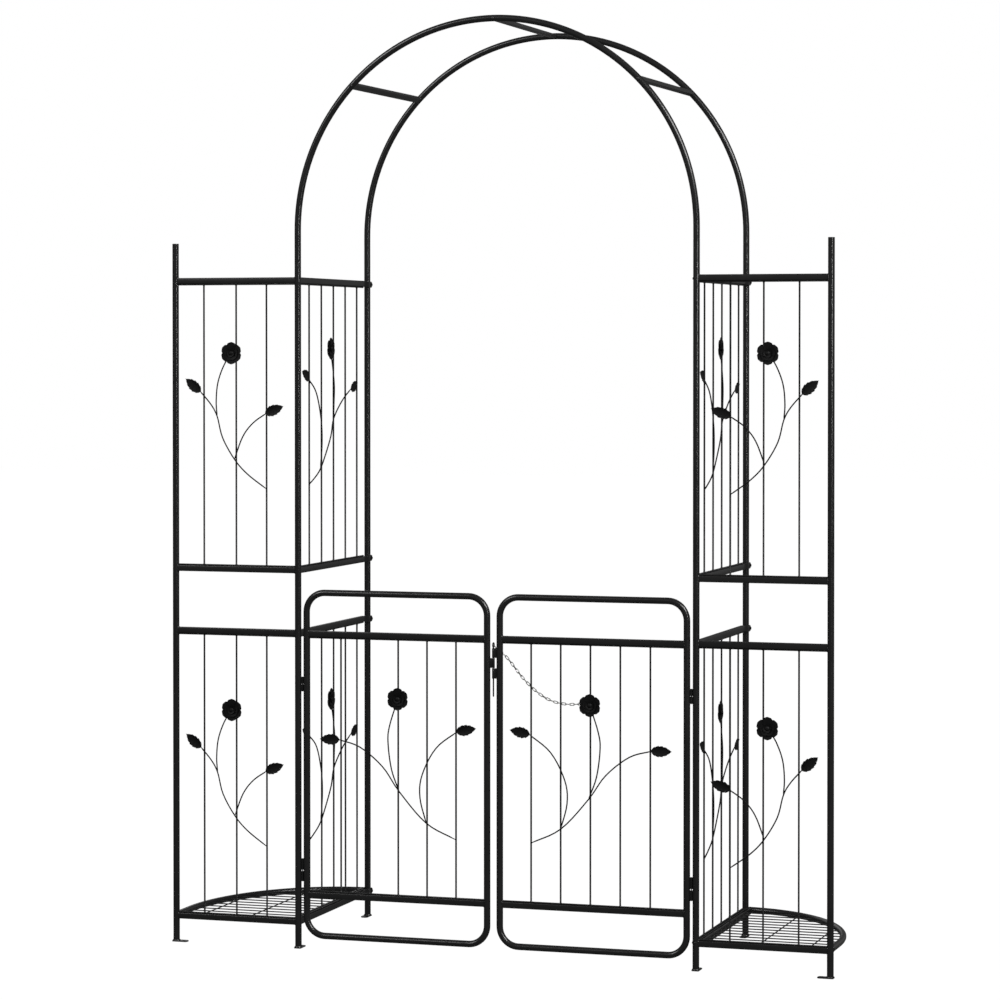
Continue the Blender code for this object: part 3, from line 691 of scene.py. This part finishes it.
def iron_colour(start):
    """Matt black paint, worn in clouds and rubbed in small spots."""
    place = start.add("TexCoord", {}, {}, "Object")
    cloud = place.noise(45, 5).ramp(0.3, 0.7)
    rub = place.noise(420, 3).ramp(0.66, 0.74)
    coat = cloud.blend(MATT_BLACK, WORN_BLACK)
    return (rub * 0.4).blend(coat, RUBBED_IRON)


def iron_roughness(start):
    place = start.add("TexCoord", {}, {}, "Object")
    return 0.46 + 0.16 * place.noise(180, 4)


def iron_relief(start):
    place = start.add("TexCoord", {}, {}, "Object")
    return place.noise(520, 4), 0.00022


iron_paint = new_finish("spray_matt_paint", iron_colour, iron_roughness, 0.0, iron_relief, 0.2)

# Each drawing gives points along the stems, the base and tip of each leaf and the middle of
# the rose, all across from the corner post or from the gap between the gate leaves, and up.
# Last comes how far across the wires stand.
DRAWINGS = {
    "front": {
        "stems": (
            ((0.083, 0.189), (0.133, 0.225), (0.167, 0.261), (0.1985, 0.314), (0.2130, 0.367),
             (0.230, 0.397), (0.2585, 0.429)),
            ((0.1745, 0.5235), (0.195, 0.493), (0.2110, 0.450), (0.2155, 0.404), (0.2130, 0.367)),
            ((0.0825, 0.375), (0.118, 0.3505), (0.145, 0.3165), (0.167, 0.261)),
        ),
        "leaves": (((0.2585, 0.429), (0.2965, 0.460)), ((0.0825, 0.375), (0.0365, 0.393))),
        "flower": (0.1745, 0.5235),
        "wires": FRONT_WIRES,
    },
    "side": {
        "stems": (
            ((0.068, 0.198), (0.1345, 0.2266), (0.174, 0.2606), (0.220, 0.3143), (0.240, 0.358),
             (0.300, 0.4015), (0.365, 0.4314)),
            ((0.2163, 0.535), (0.2330, 0.490), (0.2452, 0.440), (0.2423, 0.394), (0.240, 0.358)),
            ((0.0617, 0.4606), (0.1176, 0.4241), (0.1514, 0.3558), (0.1571, 0.2958),
             (0.146, 0.2365)),
        ),
        "leaves": (((0.365, 0.4314), (0.4085, 0.446)), ((0.0617, 0.4606), (0.0190, 0.478))),
        "flower": (0.2163, 0.535),
        "wires": SIDE_WIRES,
    },
    "gate": {
        "stems": (
            ((0.0955, 0.1508), (0.171, 0.188), (0.2404, 0.262), (0.2834, 0.321), (0.342, 0.367),
             (0.398, 0.384)),
            ((0.244, 0.488), (0.265, 0.4235), (0.2695, 0.383), (0.2605, 0.316), (0.2404, 0.262)),
            ((0.091, 0.414), (0.146, 0.371), (0.1814, 0.305), (0.187, 0.250), (0.171, 0.188)),
        ),
        "leaves": (((0.398, 0.384), (0.4455, 0.384)), ((0.091, 0.414), (0.0455, 0.4225))),
        "flower": (0.244, 0.488),
        "wires": GATE_WIRES,
    },
}


def sheet(mesh, front, back):
    """A thin sheet from two grids of points, closed round its edge."""
    grids = []
    for grid in (front, back):
        grids.append([[mesh.verts.new(point) for point in row] for row in grid])
    rows = len(front)
    columns = len(front[0])
    for grid in grids:
        for i in range(rows - 1):
            for j in range(columns - 1):
                mesh.faces.new((grid[i][j], grid[i][j + 1], grid[i + 1][j + 1], grid[i + 1][j]))
    rim = [(0, j) for j in range(columns)]
    rim += [(i, columns - 1) for i in range(1, rows)]
    rim += [(rows - 1, j) for j in range(columns - 2, -1, -1)]
    rim += [(i, 0) for i in range(rows - 2, 0, -1)]
    for (a, b), (c, d) in zip(rim, rim[1:] + rim[:1]):
        mesh.faces.new((grids[0][a][b], grids[0][c][d], grids[1][c][d], grids[1][a][b]))


def pressed_leaf(mesh, put, base, tip):
    """A pointed leaf with five teeth a side, folded a little along its rib, with side veins."""
    base = Vector(base)
    heading = (Vector(tip) - base).normalized()
    across = Vector((-heading.y, heading.x))
    stations = [0.0]
    for tooth in range(LEAF_TEETH):
        stations += [(tooth + part) / LEAF_TEETH for part in (0.35, 0.70, 0.97, 1.0)]
    front = []
    back = []
    for t in stations:
        width = max(0.06, 2.65 * t ** 0.62 * (1 - t) ** 0.80)
        tooth = (t * LEAF_TEETH) % 1 if t < 0.999 else 0
        width = width * (0.92 + 0.16 * tooth) * LEAF_HALF_WIDTH
        front.append([])
        back.append([])
        for column in range(-4, 5):
            v = column / 4
            place = base + heading * (t - 0.05 * abs(v)) * LEAF_LENGTH + across * v * width
            vein = 0.00022 * math.cos(2 * math.pi * (t * LEAF_TEETH - 1.3 * abs(v)))
            rib = 0.0005 if column == 0 else 0.0
            out = 0.0043 + 0.0024 * abs(v) ** 1.2 * math.sin(math.pi * min(1, t + 0.1)) + vein
            front[-1].append(put(place.x, place.y, out + rib + 0.0012 * t * t))
            back[-1].append(put(place.x, place.y, out - 0.0009 + 0.0012 * t * t))
    sheet(mesh, front, back)


def petal(mesh, put, centre, turn, reach, spread, base, rise, lift):
    """One petal of the rose: a lapped, cupped sheet with a wavy lip."""
    front = []
    back = []
    for row in range(8):
        v = row / 7
        front.append([])
        back.append([])
        for column in range(11):
            u = column / 5 - 1
            lip = 1.01 - 0.16 * v * abs(u) ** 2.4 + 0.016 * v * math.cos(3 * math.pi * u)
            radius = reach * (0.10 + 0.90 * v) * lip
            angle = turn + spread * u
            x = centre[0] + radius * math.cos(angle)
            y = centre[1] + radius * math.sin(angle)
            out = base + rise * v ** 2 + lift * u * v - 0.25 * rise * v ** 6
            front[-1].append(put(x, y, out))
            back[-1].append(put(x, y, out - 0.0007))
    sheet(mesh, front, back)


def rose(mesh, put, centre):
    """Three rings of petals round a tight bud."""
    for i in range(6):
        petal(mesh, put, centre, math.radians(60 * i + 30), ROSE, 0.57, 0.0045, 0.0022, 0.0006)
    for i in range(5):
        petal(mesh, put, centre, math.radians(72 * i + 12), MIDDLE_PETAL, 0.80, 0.0062, 0.0026,
              0.0007)
    for i in range(3):
        petal(mesh, put, centre, math.radians(120 * i + 50), BUD_PETAL, 1.20, 0.0080, 0.0030,
              0.0006)
    dome = [(0.0040, 0.0090), (0.0075, 0.0070), (0.0095, 0.0052), (0.0108, 0.0036),
            (0.0113, 0.0018)]
    rings = []
    for out, radius in dome:
        ring = []
        for i in range(24):
            turn = 2 * math.pi * i / 24
            wave = radius * (1 + 0.07 * math.cos(3 * turn + out * 900))
            ring.append(put(centre[0] + wave * math.cos(turn), centre[1] + wave * math.sin(turn),
                            out))
        rings.append(ring)
    loft(mesh, rings)


def tack_welds(mesh, put, line, wires):
    """A small tack wherever a stem's line crosses a wire."""
    for near, far in zip(line, line[1:]):
        for wire in wires:
            if (near.x - wire) * (far.x - wire) <= 0 and near.x != far.x:
                t = (wire - near.x) / (far.x - near.x)
                height = near.y + (far.y - near.y) * t
                spot = [put(wire, height + reach, 0.0024) for reach in (-0.0026, 0, 0.0026)]
                loft(mesh, carried(spot, round_section(0.0013, 8), sizes=[0.5, 1.0, 0.5]))


def flower_spray(name, drawing, put, body, stands_for):
    """Stems, leaves and rose, welded together and tacked to the wires."""
    mesh = bmesh.new()
    for stem in drawing["stems"]:
        line = smooth([(x, y, 0) for x, y in stem], 5)
        sizes = [1.0] * len(line)
        sizes[0] = 0.6
        sizes[-1] = 0.6
        places = [put(point.x, point.y, STEM_OUT) for point in line]
        loft(mesh, carried(places, round_section(STEM, 10), sizes=sizes))
        tack_welds(mesh, put, line, drawing["wires"])
    for base, tip in drawing["leaves"]:
        pressed_leaf(mesh, put, base, tip)
    rose(mesh, put, drawing["flower"])
    make_piece(name, mesh, iron_paint, "spray_paint", body, stands_for)


upper_base = LEVELS["upper"][0] + RAIL_HALF_HEIGHT
lower_base = upper_base - (LEVELS["upper"][1] - LEVELS["lower"][1]) - 0.016
for side, sign in SIDES.items():
    for level, base in (("upper", upper_base), ("lower", lower_base)):
        origin = posts[f"{side}_inner_front"] + UP * base
        put = framed(origin, RIGHT * sign, UP, -BACK)
        flower_spray(f"{side}_front_rose_{level}", DRAWINGS["front"], put, "root",
                     f"{side}_front_spray_{level}")
        put = framed(origin, BACK, UP, RIGHT)
        flower_spray(f"{side}_side_rose_{level}", DRAWINGS["side"], put, "root",
                     f"{side}_side_spray_{level}")

# ---------------------------------------------------------------- planter shelves
# A quarter-round shelf in each corner, level with the bottom rails: a bent tube rim and two
# flat bars, with a mesh of 3 mm wires welded inside. Twelve wires run from side to side, on
# top of three that run from front to rear.

RIM_STRAIGHT = 0.090
RIM_WELD = tube - 0.0004
SHELF_WIRE = 0.0015
SIDEWAYS_WIRES = [0.035 + 0.038 * i for i in range(12)]
REARWARD_WIRES = (0.0225, 0.1455, 0.2685)
REARWARD_DROP = 0.0024
WIRE_END = 0.0060
wire_coat = new_finish("wire_powder_coat", coat_colour(0.0100, 0.2), coat_roughness(0.34), 0.0,
                       orange_peel(900, 0.00004))
for side, sign in SIDES.items():
    corner_post = posts[f"{side}_inner_front"]
    put = framed(corner_post + UP * LEVELS["lower"][0], RIGHT * sign, BACK, UP)
    rim_end = LUG_HIGH + GAP if sign > 0 else LUG_LOW
    reach_back = side_span - RIM_STRAIGHT
    line = [put(front_span, tube + GAP, 0), put(front_span, 0.030, 0),
            put(front_span, 0.060, 0)]
    for step in range(45):
        turn = math.pi / 2 * step / 45
        reach = RIM_STRAIGHT + reach_back * math.sin(turn)
        line.append(put(front_span * math.cos(turn), reach, 0))
    line += [put(rim_end + 0.008, side_span, 0), put(rim_end, side_span, 0)]
    frame_mesh = bmesh.new()
    loft(frame_mesh, carried(line, round_section(tube, 28)))
    ends = framed(line[0], BACK, RIGHT, UP)
    weld(frame_mesh, [ends(0, a, b) for a, b in round_section(RIM_WELD, 24)], 0.0011)
    ends = framed(line[-1], RIGHT, BACK, UP)
    weld(frame_mesh, [ends(GAP * sign, a, b) for a, b in round_section(RIM_WELD, 24)], 0.0009)
    front_bar = round_corners(tube + 0.0008, tube + 0.0058, -0.007, 0.007, 0.0008)
    loft(frame_mesh, [[put(distance, b, c) for b, c in front_bar]
                      for distance in (0.0125, front_span - 0.002)])
    side_bar = round_corners(0.0120, 0.0170, -0.0069, 0.0069, 0.0008)
    loft(frame_mesh, [[put(b, distance, c) for b, c in side_bar]
                      for distance in (tube + 0.0020, side_span - 0.004)])
    make_piece(f"{side}_shelf_rim", frame_mesh, tube_coat, "tube_paint", "root",
               f"{side}_shelf_frame")
    grid_mesh = bmesh.new()
    for distance in SIDEWAYS_WIRES:
        part = max(0.0, (distance - RIM_STRAIGHT) / reach_back)
        end = front_span * math.sqrt(1 - part ** 2) - WIRE_END
        round_bar(grid_mesh, put(0.0166, distance, 0), put(end, distance, 0), SHELF_WIRE, 1.4)
    for across in REARWARD_WIRES:
        end = RIM_STRAIGHT + reach_back * math.sqrt(1 - (across / front_span) ** 2) - WIRE_END
        round_bar(grid_mesh, put(across, tube + 0.0054, -REARWARD_DROP),
                  put(across, end, -REARWARD_DROP), SHELF_WIRE, 1.4)
    make_piece(f"{side}_shelf_mesh", grid_mesh, wire_coat, "wire_paint", "root",
               f"{side}_shelf_grid")

# ---------------------------------------------------------------- hoops and slats
# Two half-round hoops of the posts' tube, each in two quarters joined at the top, plugged into
# the inner posts. Three rounded bars tie them, coped and welded to the tubes, with a screw
# through each hoop.

HOOP_LEG = 0.0307
EASED_END = 0.955
SLAT_TURNS = {"slat_left": 136, "slat_top": 90, "slat_right": 44}
SLAT_HALF_THICKNESS = 0.0050
SLAT_HALF_WIDTH = 0.0078
hoop_radius = posts["right_inner_front"].x
hoop_centre = post_top + HOOP_LEG
crown = hoop_centre + hoop_radius
for row in ("front", "rear"):
    axis = posts[f"right_inner_{row}"].y
    for side, sign in SIDES.items():
        put = framed((0, axis, 0), RIGHT * sign, UP, BACK)
        line = [put(GAP / 2, crown, 0), put(0.0005, crown, 0), put(0.006, crown - 0.00003, 0)]
        sizes = [EASED_END, 1.0, 1.0]
        for step in range(1, 49):
            turn = math.pi / 2 * (1 - step / 48)
            height = hoop_centre + hoop_radius * math.sin(turn)
            line.append(put(hoop_radius * math.cos(turn), height, 0))
            sizes.append(1.0)
        for height, size in ((post_top + GAP + 0.0004, 1.0), (post_top + GAP, EASED_END),
                             (post_top + GAP - 0.00005, SPIGOT / tube),
                             (post_top - SPIGOT_LENGTH + 0.001, SPIGOT / tube),
                             (post_top - SPIGOT_LENGTH, 0.72)):
            line.append(put(hoop_radius, height, 0))
            sizes.append(size)
        quarter = bmesh.new()
        loft(quarter, carried(line, round_section(tube, 32), sizes=sizes, side=BACK))
        make_piece(f"{row}_hoop_{side}_quarter", quarter, tube_coat, "tube_paint", "root",
                   f"{row}_hoop_{side}")

# The slats get the rails' black coat made twice as light, as painted light: it makes them read as
# more brightly lit, though they are painted the same as the rails.
slat_coat_painted_light = new_finish("slat_powder_coat_painted_light", coat_colour(0.0210, 0.12), coat_roughness(0.30), 0.0,
                       orange_peel(750, 0.00005))
for name, degrees in SLAT_TURNS.items():
    turn = math.radians(degrees)
    outward = Vector((math.cos(turn), 0, math.sin(turn)))
    middle = Vector((0, front_line, hoop_centre)) + outward * hoop_radius
    put = framed(middle, BACK, outward, outward.cross(BACK))
    section = round_corners(-SLAT_HALF_THICKNESS, SLAT_HALF_THICKNESS, -SLAT_HALF_WIDTH,
                            SLAT_HALF_WIDTH, 0.0014)
    near = coped_ring(put, section, 0, 1, tube)
    far = coped_ring(put, section, side_span, -1, tube)
    bar = bmesh.new()
    loft(bar, [near, far])
    weld(bar, near, 0.0010)
    weld(bar, far, 0.0010)
    dome_head(bar, middle - BACK * tube, -BACK, 0.0040, 0.0028)
    dome_head(bar, middle + BACK * (side_span + tube), BACK, 0.0036, 0.0009)
    make_piece(f"{name}_bar", bar, slat_coat_painted_light, "rail_paint", "root", name)

# ---------------------------------------------------------------- gate leaves
# Two leaves: a tube bent to a frame with round corners, two rails coped between its stiles,
# five wires welded between the rails, and a spray like the panels'.

GATE_RAILS = (0.1357, 0.7757)
GATE_CORNER = 0.047
for side, sign in SIDES.items():
    body = f"{side}_gate"
    low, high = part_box(f"{side}_gate_frame")
    inner = min(abs(low.x), abs(high.x)) + tube
    outer = max(abs(low.x), abs(high.x)) - tube
    bottom = low.z + tube
    top = high.z - tube
    put = framed((0, front_line, 0), RIGHT * sign, BACK, UP)
    corners = ((outer, top), (inner, top), (inner, bottom), (outer, bottom))
    line = []
    for quarter, (x, z) in enumerate(corners):
        x += GATE_CORNER * (1 if x == inner else -1)
        z += GATE_CORNER * (1 if z == bottom else -1)
        for step in range(13):
            turn = math.pi / 2 * (quarter + step / 12)
            line.append(put(x + GATE_CORNER * math.cos(turn), 0, z + GATE_CORNER * math.sin(turn)))
    leaf_frame = bmesh.new()
    loft(leaf_frame, carried(line, round_section(tube, 32), closed=True, side=BACK), "joined")
    make_piece(f"{side}_leaf_tube", leaf_frame, tube_coat, "tube_paint", body,
               f"{side}_gate_frame")
    infill = bmesh.new()
    for height, wires_side in zip(GATE_RAILS, (1, -1)):
        put = framed((sign * inner, front_line, height), RIGHT * sign, BACK, UP)
        coped_rail(infill, put, outer - inner, wires_side)
    put = framed((0, front_line, 0), RIGHT * sign, BACK, UP)
    upright_wires(infill, put, GATE_WIRES, *GATE_RAILS)
    make_piece(f"{side}_leaf_trellis", infill, rail_coat, "rail_paint", body,
               f"{side}_gate_infill")
    put = framed((0, front_line, GATE_RAILS[0]), RIGHT * sign, UP, -BACK)
    flower_spray(f"{side}_leaf_rose", DRAWINGS["gate"], put, body, f"{side}_gate_spray")

# ---------------------------------------------------------------- hinges
# Two lift-off hinges a leaf: a short barrel with an upward pin welded to the post, and a
# bored barrel welded to the leaf's stile that drops over the pin.

HINGE_LINE = 0.49425
BARREL = 0.00295
BARREL_BORE = 0.0018
HINGE_PIN = 0.0015
PINTLE_TOPS = {"top": 0.6525, "bottom": 0.1910}
SEAM_OUT = 0.0028


def barrel_seams(mesh, put, low, high, out):
    """The two upright seams that hold a barrel to the tube beside it."""
    for edge in (-0.0016, 0.0016):
        weld(mesh, [put(low + 0.001, out, edge), put(high - 0.001, out, edge)], 0.0009,
             closed=False)


for side, sign in SIDES.items():
    put = framed((sign * HINGE_LINE, front_line, 0), UP, RIGHT * sign, BACK)
    for place, post_high in PINTLE_TOPS.items():
        low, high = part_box(f"{side}_{place}_hinge_barrel")
        leaf_low = low.z
        leaf_high = high.z
        post_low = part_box(f"{side}_{place}_hinge_pintle")[0].z
        pintle = bmesh.new()
        turned(pintle, put, ((post_low, BARREL - EDGE), (post_low + EDGE, BARREL),
                             (post_high - EDGE, BARREL), (post_high, BARREL - EDGE),
                             (post_high, HINGE_PIN), (leaf_high - 0.003, HINGE_PIN),
                             (leaf_high - 0.002, HINGE_PIN * 0.6)), 24)
        barrel_seams(pintle, put, post_low, post_high, SEAM_OUT)
        make_piece(f"{side}_{place}_pintle", pintle, tube_coat, "tube_paint", "root",
                   f"{side}_{place}_hinge_pintle")
        barrel = bmesh.new()
        turned(barrel, put, ((leaf_low, BARREL - EDGE), (leaf_low + EDGE, BARREL),
                             (leaf_high - EDGE, BARREL), (leaf_high, BARREL - EDGE),
                             (leaf_high, BARREL_BORE + 0.0002), (leaf_high - 0.0003, BARREL_BORE),
                             (leaf_low + 0.0003, BARREL_BORE), (leaf_low, BARREL_BORE + 0.0002)),
               24, "joined")
        barrel_seams(barrel, put, leaf_low, leaf_high, -SEAM_OUT)
        make_piece(f"{side}_{place}_barrel", barrel, tube_coat, "tube_paint", f"{side}_gate",
                   f"{side}_{place}_hinge_barrel")

# ---------------------------------------------------------------- latch
# Three bored knuckles welded to the meeting stiles, two on the right leaf and one on the left,
# and a drop pin through them: a pointed rod with a ring bent at its top, in plain black.

KNUCKLE = 0.0035
KNUCKLE_BORE = 0.0021
KNUCKLE_ROOT = 0.0086
KNUCKLE_HALF_NECK = 0.0022
PIN = 0.0018
for name in ("right_latch_knuckle_upper", "left_latch_knuckle", "right_latch_knuckle_lower"):
    low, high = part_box(name)
    sign = -1 if name.startswith("left") else 1
    start = math.asin(KNUCKLE_HALF_NECK / KNUCKLE)
    outline = [(KNUCKLE_ROOT, -KNUCKLE_HALF_NECK), (KNUCKLE_ROOT, KNUCKLE_HALF_NECK)]
    for step in range(21):
        turn = start + (2 * math.pi - 2 * start) * step / 20
        outline.append((KNUCKLE * math.cos(turn), KNUCKLE * math.sin(turn)))
    outline = [(sign * x, y) for x, y in outline]
    middle = Vector((0, front_line, (low.z + high.z) / 2))
    knuckle = bmesh.new()
    plate(knuckle, outline, round_section(KNUCKLE_BORE, 20), high.z - low.z, 0.0003,
          Matrix.Translation(middle))
    put = framed((0, front_line, 0), RIGHT * sign, BACK, UP)
    for edge in (-1, 1):
        seam = [put(KNUCKLE_ROOT, edge * 0.0024, low.z + 0.001),
                put(KNUCKLE_ROOT, edge * 0.0024, high.z - 0.001)]
        weld(knuckle, seam, 0.0010, closed=False)
    body = "left_gate" if sign < 0 else "right_gate"
    make_piece(f"{name}_block", knuckle, tube_coat, "tube_paint", body, name)

pin = bmesh.new()
put = framed((0, front_line, 0), UP, RIGHT, BACK)
pin_low = ring_low.z
shaft_top = EYE_HEIGHT - EYE_RADIUS
turned(pin, put, ((pin_low, PIN * 0.35), (pin_low + 0.0005, PIN * 0.6), (pin_low + 0.003, PIN),
                  (shaft_top - 0.0003, PIN), (shaft_top + 0.0006, PIN * 0.7)), 20)
ring_line = []
for step in range(36):
    turn = 2 * math.pi * step / 36
    ring_line.append(put(EYE_HEIGHT + EYE_RADIUS * math.sin(turn), 0, EYE_RADIUS * math.cos(turn)))
loft(pin, carried(ring_line, round_section(EYE_WIRE, 12), closed=True), "joined")
make_piece("drop_pin", pin, tube_coat, "tube_paint", "latch_pin", "latch_pin")

# ---------------------------------------------------------------- floor and light
# A plain white studio: a pale floor that runs into the background, large soft boxes in front
# and behind, and a small key and a strip that draw the thin streaks on the tubes.

floor_mesh = bmesh.new()
bmesh.ops.create_grid(floor_mesh, x_segments=1, y_segments=1, size=30)
floor_data = bpy.data.meshes.new("floor")
floor_mesh.to_mesh(floor_data)
floor_mesh.free()
floor = bpy.data.objects.new("floor", floor_data)
floor.location = (0, 0, -0.0005)
bpy.context.scene.collection.objects.link(floor)
floor.visible_diffuse = False
floor.visible_glossy = False
paper = bpy.data.materials.new("studio_paper")
paper.use_nodes = True
paper_shader = paper.node_tree.nodes["Principled BSDF"]
paper_shader.inputs["Base Color"].default_value = (0.04, 0.04, 0.04, 1)
paper_shader.inputs["Roughness"].default_value = 1.0
paper_shader.inputs["Specular IOR Level"].default_value = 0.0
paper_shader.inputs["Emission Color"].default_value = (1, 1, 1, 1)
paper_shader.inputs["Emission Strength"].default_value = 1.0
floor_data.materials.append(paper)
floor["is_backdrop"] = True

world = bpy.data.worlds.new("studio")
bpy.context.scene.world = world
world.use_nodes = True
nodes = world.node_tree.nodes
links = world.node_tree.links
nodes.clear()
backdrop = nodes.new("ShaderNodeBackground")
backdrop.inputs["Color"].default_value = (1, 1, 1, 1)
backdrop.inputs["Strength"].default_value = 1.0
fill = nodes.new("ShaderNodeBackground")
fill.inputs["Color"].default_value = (1, 1, 1, 1)
fill.inputs["Strength"].default_value = 0.10
path = nodes.new("ShaderNodeLightPath")
choice = nodes.new("ShaderNodeMixShader")
sky = nodes.new("ShaderNodeOutputWorld")
links.new(path.outputs["Is Camera Ray"], choice.inputs[0])
links.new(fill.outputs[0], choice.inputs[1])
links.new(backdrop.outputs[0], choice.inputs[2])
links.new(choice.outputs[0], sky.inputs["Surface"])
bpy.context.scene.view_settings.view_transform = "Standard"


def soft_lamp(name, place, target, width, height, power):
    """A soft box aimed at a point."""
    lamp_data = bpy.data.lights.new(name, "AREA")
    lamp_data.shape = "RECTANGLE"
    lamp_data.size = width
    lamp_data.size_y = height
    lamp_data.energy = power
    lamp = bpy.data.objects.new(name, lamp_data)
    lamp.location = place
    aim = Vector(target) - Vector(place)
    lamp.rotation_euler = aim.to_track_quat("-Z", "Y").to_euler()
    bpy.context.scene.collection.objects.link(lamp)


soft_lamp("front_soft", (-5.0, -6.5, 5.6), (0, 0, 1.1), 3.0, 3.0, 240)
soft_lamp("right_soft", (6.0, -3.2, 5.4), (0, 0, 1.1), 2.5, 2.5, 330)
soft_lamp("key", (3.6, -4.6, 5.2), (0, 0, 1.2), 0.7, 0.7, 90)
soft_lamp("strip", (3.5, -2.95, 1.62), (0.5, 0, 1.50), 0.10, 0.52, 20)
soft_lamp("rear_left", (-4.5, 6.5, 3.4), (0, 0, 1.1), 6.0, 4.0, 34)
soft_lamp("rear_right", (3.6, 8.5, 2.4), (0.5, 0, 1.2), 5.0, 4.0, 7)

sizes = {"cad": [list(corner) for corner in cad_box],
         "visual": [list(corner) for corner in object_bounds()]}
